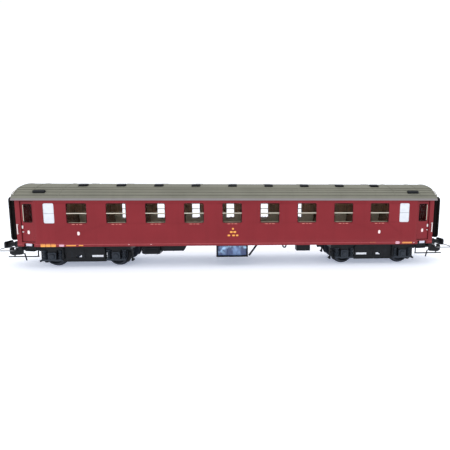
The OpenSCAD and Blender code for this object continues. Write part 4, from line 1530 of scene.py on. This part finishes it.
class COACH_OT_bogies(bpy.types.Operator):
    """Make the coil springs, axlebox covers, dampers and rivets of the bogies"""

    bl_idname = "coach.bogies"
    bl_label = "Bogies"

    def execute(self, context):
        for end in ENDS:
            name = END_NAMES[end]
            dress("bogie_frame_" + name, "charcoal", sizes("gear_edge"))
            dress("brake_gear_" + name, "charcoal", 0.08)
            self.add_axleboxes(name)
            self.add_frame_details(name)
        return {"FINISHED"}

    def add_axleboxes(self, name):
        face = cad_box("bogie_frame_" + name)[1].y
        boxes = Shape()
        springs = Shape()
        turns = bpy.context.scene.coach_sizes.spring_turns
        wire = sizes("spring_wire")
        for box_low, box_high in cad_solids("axleboxes_" + name):
            side = side_of(box_low)
            x = (box_low.x + box_high.x) / 2
            rings = []
            for depth, inset in COVER_LEVELS:
                wide = COVER_WIDTH - 2 * inset
                ring = rounded_rect(wide, COVER_HEIGHT - 2 * inset, 0.7, (x, AXLE_Z), 4)
                rings.append([at("y", side * (face + depth), a, b) for a, b in ring])
            boxes.loft(rings)
            cap = [(side * (face + distance), radius) for distance, radius in CAP_PROFILE]
            boxes.lathe(cap, (x, 0.0, AXLE_Z), "y", 24)
            for across in (-1.6, 1.6):
                for up in (-1.7, 1.7):
                    stud(boxes, (x + across, side * (face + 0.7), AXLE_Z + up), "y", side, 0.24, 0.16)
            seat = rounded_rect(box_high.x - box_low.x, 0.85, 0.4, (x, AXLE_Z - 2.17), 4)
            boxes.prism(seat, "y", side * (face + 0.02), side * (face + 0.75), 0.08)
            for offset in (-SPRING_OFFSET, SPRING_OFFSET):
                self.add_spring(springs, x + offset, side * (face - 0.25), wire, turns)
        # Covers and springs take the lighter spring finish, a painted highlight.
        piece = boxes.piece("axlebox_covers_" + name, "spring", "charcoal", body="bogie_" + name)
        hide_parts("axleboxes_" + name)
        springs.piece("axlebox_springs_" + name, "spring", "charcoal", body="bogie_" + name)

    def add_spring(self, springs, x, y, wire, turns):
        path = helix((x, y), SPRING_RADIUS - wire, SPRING_FOOT + wire, SPRING_HEAD - wire, turns)
        springs.tube(path, wire, 7)
        cup = [(SPRING_FOOT - 0.25, 1.05), (SPRING_FOOT - 0.2, 1.2), (SPRING_FOOT + 0.1, 1.2)]
        cup += [(SPRING_FOOT + 0.15, 0.6), (SPRING_HEAD - 0.1, 0.5)]
        springs.lathe(cup, (x, y, 0.0), "z", 16)
        collar = [(SPRING_HEAD - 0.35, 1.1), (SPRING_HEAD - 0.3, 1.2), (SPRING_HEAD, 1.2)]
        collar.append((SPRING_HEAD + 0.05, 1.1))
        springs.lathe(collar, (x, y, 0.0), "z", 16)

    def add_frame_details(self, name):
        centre = joint_place("bogie_%s_swivel" % name).x
        face = cad_box("bogie_frame_" + name)[1].y
        details = Shape()
        radius = sizes("stud_radius")
        for side in SIDES:
            for index in range(RIVETS):
                x = centre + (index - (RIVETS - 1) / 2) * RIVET_PITCH
                for up in (BEAM_Z + 0.6, BEAM_Z - 0.6):
                    stud(details, (x, side * face, up), "y", side, radius * 0.9)
            for offset in (-DAMPER_OFFSET, DAMPER_OFFSET):
                body = [(AXLE_Z - 1.2, 0.5), (AXLE_Z - 1.0, 0.62), (AXLE_Z + 1.4, 0.62)]
                body += [(AXLE_Z + 1.5, 0.42), (AXLE_Z + 3.6, 0.42), (AXLE_Z + 3.7, 0.6)]
                body.append((AXLE_Z + 4.2, 0.6))
                details.lathe(body, (centre + offset, side * (face + 0.5), 0.0), "z", 14)
                for up in (AXLE_Z - 1.3, AXLE_Z + 4.2):
                    pin = [(0.0, 0.34), (side * 0.9, 0.34), (side * 1.0, 0.26)]
                    details.lathe(pin, (centre + offset, side * face, up), "y", 10)
            self.add_web(details, centre, side, face)
        details.piece("bogie_details_" + name, "charcoal", "charcoal", body="bogie_" + name)

    def add_web(self, details, centre, side, face):
        outer = rounded_rect(22.4, 1.9, 0.4, (centre, AXLE_Z - 2.1), 3)
        inner = rounded_rect(21.4, 1.1, 0.3, (centre, AXLE_Z - 2.1), 3)
        details.hollow(outer, inner, "y", side * (face - 0.1), side * (face + 0.22))
        for offset in (-RIB_OFFSET, 0.0, RIB_OFFSET):
            x = centre + offset
            foot = AXLE_Z - 1.0
            head = AXLE_Z + 3.3
            outline = [(x - 0.28, foot), (x + 0.28, foot), (x + 0.2, head), (x - 0.2, head)]
            details.prism(outline, "y", side * (face - 0.1), side * (face + 0.28))
        plate = rounded_rect(3.0, 1.5, 0.25, (centre, AXLE_Z + 2.4), 4)
        details.prism(plate, "y", side * (face - 0.05), side * (face + 0.16), 0.05)


# Each row is a place on a wheel's section: its distance from the wheel's back, and its radius.
WHEEL_PROFILE = (
    (0.2, 1.03), (0.2, 2.1), (0.35, 2.3), (0.95, 2.5), (1.05, 3.4), (0.95, 4.35),
    (0.15, 4.65), (0.0, 4.85), (0.0, 6.1), (0.1, 6.4), (0.3, 6.57), (0.5, 6.55),
    (0.68, 6.3), (0.86, 5.85), (1.15, 5.62), (1.6, 5.56), (2.7, 5.48), (2.8, 5.38),
    (2.8, 4.85), (2.7, 4.72), (2.05, 4.5), (1.85, 4.2), (1.75, 3.3), (1.85, 2.5),
    (2.45, 2.2), (2.6, 2.05), (2.6, 1.03),
)
WHEEL_STUDS = 6
STUD_CIRCLE = 3.4
WEB_FACE = 1.74
WHEELSETS = (1, 2, 3, 4)


class COACH_OT_wheelsets(bpy.types.Operator):
    """Turn the wheels and finish the axles"""

    bl_idname = "coach.wheelsets"
    bl_label = "Wheelsets"

    def execute(self, context):
        for index in WHEELSETS:
            axle = joint_place("wheelset_%d_spin" % index)
            wheels = Shape()
            for low, high in cad_solids("wheels_%d" % index):
                side = side_of(low)
                back = high.y if side < 0 else low.y
                turned = [(back + side * distance, radius) for distance, radius in WHEEL_PROFILE]
                wheels.lathe(turned, (axle.x, 0.0, axle.z), "y", 64, True)
                for along, up in circle(STUD_CIRCLE, WHEEL_STUDS):
                    spot = Vector((axle.x + along, back + side * WEB_FACE, axle.z + up))
                    stud(wheels, spot, "y", side, 0.3, 0.1)
            name = "turned_wheels_%d" % index
            piece = wheels.piece(name, "wheel", "wheel_steel", body="wheelset_%d" % index)
            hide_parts("wheels_%d" % index)
            dress("axle_%d" % index, "axle")
        return {"FINISHED"}


# ---- blank marks -------------------------------------------------------------------


MARK_THICKNESS = 0.05
MARK_SINK = 0.03
MARK_FOOT = BODY_Z + 0.75
DATA_START = -STRAIGHT_HALF + 2.7
DATA_PITCH = 2.72
# Each row is a mark under a window: its place from the window's middle, its height over the body's foot,
# its length, its height and, if given, its corner radius.
DASH_MARKS = ((-1.9, 12.25, 1.5, 0.3), (0.1, 12.25, 0.9, 0.3), (2.0, 12.25, 1.5, 0.3))
FIRST_CLASS_MARK = (0.6, 7.3, 1.3, 2.0, 0.6)
LAST_CLASS_MARK = (0.1, 7.3, 1.3, 2.0, 0.6)
CENTRE_MARKS = (
    (0.4, 9.45, 1.2, 1.0, 0.5),
    (-0.55, 7.65, 1.5, 1.0),
    (1.35, 7.65, 1.5, 1.0),
    (-1.9, 5.75, 1.4, 0.9),
    (0.7, 5.75, 1.5, 0.9),
    (2.7, 5.75, 1.3, 0.9),
)
# Each row is a mark along the foot of the side: its colour, its place, its height over MARK_FOOT, its
# length, its height and, if given, its corner radius.
FOOT_MARKS = (
    ("yellow", DATA_START, 0.1, 2.5, 1.6, 0.3),
    ("yellow", DATA_START + DATA_PITCH, 0.1, 2.5, 1.6, 0.3),
    ("yellow", DATA_START + 2 * DATA_PITCH, 0.1, 2.5, 1.6, 0.3),
    ("pale", -92.0, 0.1, 2.6, 1.3, 0.4),
    ("yellow", -87.0, -0.05, 5.2, 0.55),
    ("yellow", -81.8, -0.05, 2.4, 0.5),
    ("white", -56.4, 0.4, 0.9, 0.5, 0.2),
    ("white", -44.4, 0.4, 0.9, 0.5, 0.2),
    ("yellow", 80.0, 0.5, 3.4, 0.35),
    ("pale", 94.5, 0.3, 2.6, 1.4, 0.6),
    ("yellow", 100.2, 0.3, 6.0, 0.9, 0.35),
    ("white", 104.2, 0.3, 0.6, 0.7, 0.3),
)
MARK_FINISHES = {
    "white": "white_mark",
    "yellow": "yellow_mark",
    "pale": "pink_mark",
    "dashes": "dash_mark",
}


class COACH_OT_marks(bpy.types.Operator):
    """Lay the small blank marks on the sides, where a real coach carries its data"""

    bl_idname = "coach.marks"
    bl_label = "Blank marks"

    def execute(self, context):
        windows = [box for box in cad_solids("window_rails") if box[0].y < 0]
        shapes = {colour: Shape() for colour in MARK_FINISHES}
        for side in SIDES:
            self.add_window_marks(side, windows, shapes)
            for colour, x, up, *size in FOOT_MARKS:
                self.lay(shapes[colour], side, x, MARK_FOOT + up, *size)
        self.add_door_marks(shapes["white"])
        for colour, finish in MARK_FINISHES.items():
            shapes[colour].piece("marks_" + colour, finish, "white_trim")
        return {"FINISHED"}

    def lay(self, shape, side, x, up, wide, tall, corner=None):
        radius = min(wide, tall) * 0.3 if corner is None else corner
        outline = rounded_rect(wide, tall, radius, (x, up), 4)
        shape.prism(outline, "y", side * (HALF_WIDTH - MARK_SINK), side * (HALF_WIDTH + MARK_THICKNESS))

    def add_window_marks(self, side, windows, shapes):
        rows = [[("dashes", mark) for mark in DASH_MARKS] for _ in windows]
        rows[0].append(("white", FIRST_CLASS_MARK))
        rows[-1].append(("white", LAST_CLASS_MARK))
        rows[len(windows) // 2] += [("yellow", mark) for mark in CENTRE_MARKS]
        for (low, high), marks in zip(windows, rows):
            middle = (low.x + high.x) / 2
            for colour, (shift, up, *size) in marks:
                self.lay(shapes[colour], side, middle + shift, BODY_Z + up, *size)

    def add_door_marks(self, whites):
        mark = Shape()
        outline = rounded_rect(1.35, 2.0, 0.6, (DOOR_MIDDLE, BODY_Z + 7.85), 4)
        mark.prism(outline, "y", DOOR_RECESS + 0.02, DOOR_RECESS - MARK_THICKNESS)
        at_all_doors(whites, mark)


# ---- camera, light and floor ---------------------------------------------------------


SENSOR_WIDTH = 36.0
CLIP_NEAR = 0.005
CLIP_FAR = 50.0
FLOOR_HALF = 12.0
ROOM_COLOUR = (0.96, 0.98, 1.0, 1.0)
# Each row is a lamp: its name, its place, what it points at, its size and its share of the key light's power.
LAMPS = (
    ("key_lamp", (-0.25, -0.55, 0.75), (0.0, 0.0, 0.02), 0.9, 1.0),
    ("top_lamp", (0.1, 0.25, 0.95), (0.0, 0.0, 0.0), 1.2, 0.8),
)


class COACH_OT_stage(bpy.types.Operator):
    """Set up the pale floor, the soft light and the camera"""

    bl_idname = "coach.stage"
    bl_label = "Stage"

    def execute(self, context):
        settings = context.scene.coach_stage
        self.add_camera(context.scene, settings)
        self.add_floor()
        self.add_light(context.scene, settings)
        return {"FINISHED"}

    def add_camera(self, scene, settings):
        data = bpy.data.cameras.new("camera")
        data.sensor_width = SENSOR_WIDTH
        data.lens = settings.lens
        data.shift_x = settings.shift[0]
        data.shift_y = settings.shift[1]
        data.clip_start = CLIP_NEAR
        data.clip_end = CLIP_FAR
        ahead = Vector((
            math.sin(settings.turn) * math.cos(settings.dip),
            math.cos(settings.turn) * math.cos(settings.dip),
            -math.sin(settings.dip),
        ))
        level = Vector((math.cos(settings.turn), -math.sin(settings.turn), 0.0))
        upward = level.cross(ahead)
        right = level * math.cos(settings.roll) + upward * math.sin(settings.roll)
        above = right.cross(ahead)
        facing = Matrix((right, above, -ahead)).transposed().to_4x4()
        camera = bpy.data.objects.new("camera", data)
        camera.matrix_world = Matrix.Translation(Vector(settings.camera_place)) @ facing
        scene.collection.objects.link(camera)
        scene.camera = camera

    def add_floor(self):
        mesh = bpy.data.meshes.new("studio_floor")
        builder = bmesh.new()
        bmesh.ops.create_grid(builder, x_segments=4, y_segments=4, size=FLOOR_HALF)
        builder.to_mesh(mesh)
        builder.free()
        mesh.materials.append(finish_named("floor"))
        floor = bpy.data.objects.new("studio_floor", mesh)
        bpy.context.scene.collection.objects.link(floor)
        floor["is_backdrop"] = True

    def add_light(self, scene, settings):
        world = bpy.data.worlds.new("studio_room")
        world.use_nodes = True
        background = world.node_tree.nodes["Background"]
        background.inputs["Color"].default_value = ROOM_COLOUR
        background.inputs["Strength"].default_value = settings.sky
        scene.world = world
        scene.view_settings.view_transform = "Standard"
        for name, place, target, size, share in LAMPS:
            self.add_lamp(scene, name, place, target, size, settings.key * share)

    def add_lamp(self, scene, name, place, target, size, power):
        data = bpy.data.lights.new(name, "AREA")
        data.shape = "SQUARE"
        data.size = size
        data.energy = power
        lamp = bpy.data.objects.new(name, data)
        lamp.location = place
        aim = Vector(target) - Vector(place)
        lamp.rotation_euler = aim.to_track_quat("-Z", "Y").to_euler()
        scene.collection.objects.link(lamp)


# ---- panel and registration ------------------------------------------------------------

PIECE_OPERATORS = (
    COACH_OT_shell,
    COACH_OT_roof,
    COACH_OT_vents,
    COACH_OT_windows,
    COACH_OT_cabin,
    COACH_OT_gangways,
    COACH_OT_buffers,
    COACH_OT_couplers,
    COACH_OT_underfloor,
    COACH_OT_bogies,
    COACH_OT_wheelsets,
    COACH_OT_marks,
    COACH_OT_stage,
)


class COACH_PT_parts(bpy.types.Panel):
    """The steps that build the coach, and its settings"""

    bl_idname = "COACH_PT_parts"
    bl_label = "Coach"
    bl_space_type = "VIEW_3D"
    bl_region_type = "UI"
    bl_category = "Coach"

    def draw(self, context):
        layout = self.layout
        for operator in PIECE_OPERATORS:
            layout.operator(operator.bl_idname)
        for group in (context.scene.coach_sizes, context.scene.coach_colours, context.scene.coach_stage):
            box = layout.box()
            for key in group.bl_rna.properties.keys():
                if key not in ("rna_type", "name"):
                    box.prop(group, key)


CLASSES = (CoachSizes, CoachColours, CoachStage, *PIECE_OPERATORS, COACH_PT_parts)


def register():
    for item in CLASSES:
        bpy.utils.register_class(item)
    bpy.types.Scene.coach_sizes = bpy.props.PointerProperty(type=CoachSizes)
    bpy.types.Scene.coach_colours = bpy.props.PointerProperty(type=CoachColours)
    bpy.types.Scene.coach_stage = bpy.props.PointerProperty(type=CoachStage)


def unregister():
    del bpy.types.Scene.coach_sizes
    del bpy.types.Scene.coach_colours
    del bpy.types.Scene.coach_stage
    for item in reversed(CLASSES):
        bpy.utils.unregister_class(item)


def corners(bounds):
    """A box as plain lists of numbers."""
    return [[round(value, 6) for value in corner] for corner in bounds]


def main():
    register()
    bpy.ops.coach.shell()
    bpy.ops.coach.roof()
    bpy.ops.coach.vents()
    bpy.ops.coach.windows()
    bpy.ops.coach.cabin()
    bpy.ops.coach.gangways()
    bpy.ops.coach.buffers()
    bpy.ops.coach.couplers()
    bpy.ops.coach.underfloor()
    bpy.ops.coach.bogies()
    bpy.ops.coach.wheelsets()
    bpy.ops.coach.marks()
    bpy.ops.coach.stage()
    {"cad": corners(CAD_BOUNDS), "visual": corners(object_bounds())}


if __name__ == "__main__":
    main()
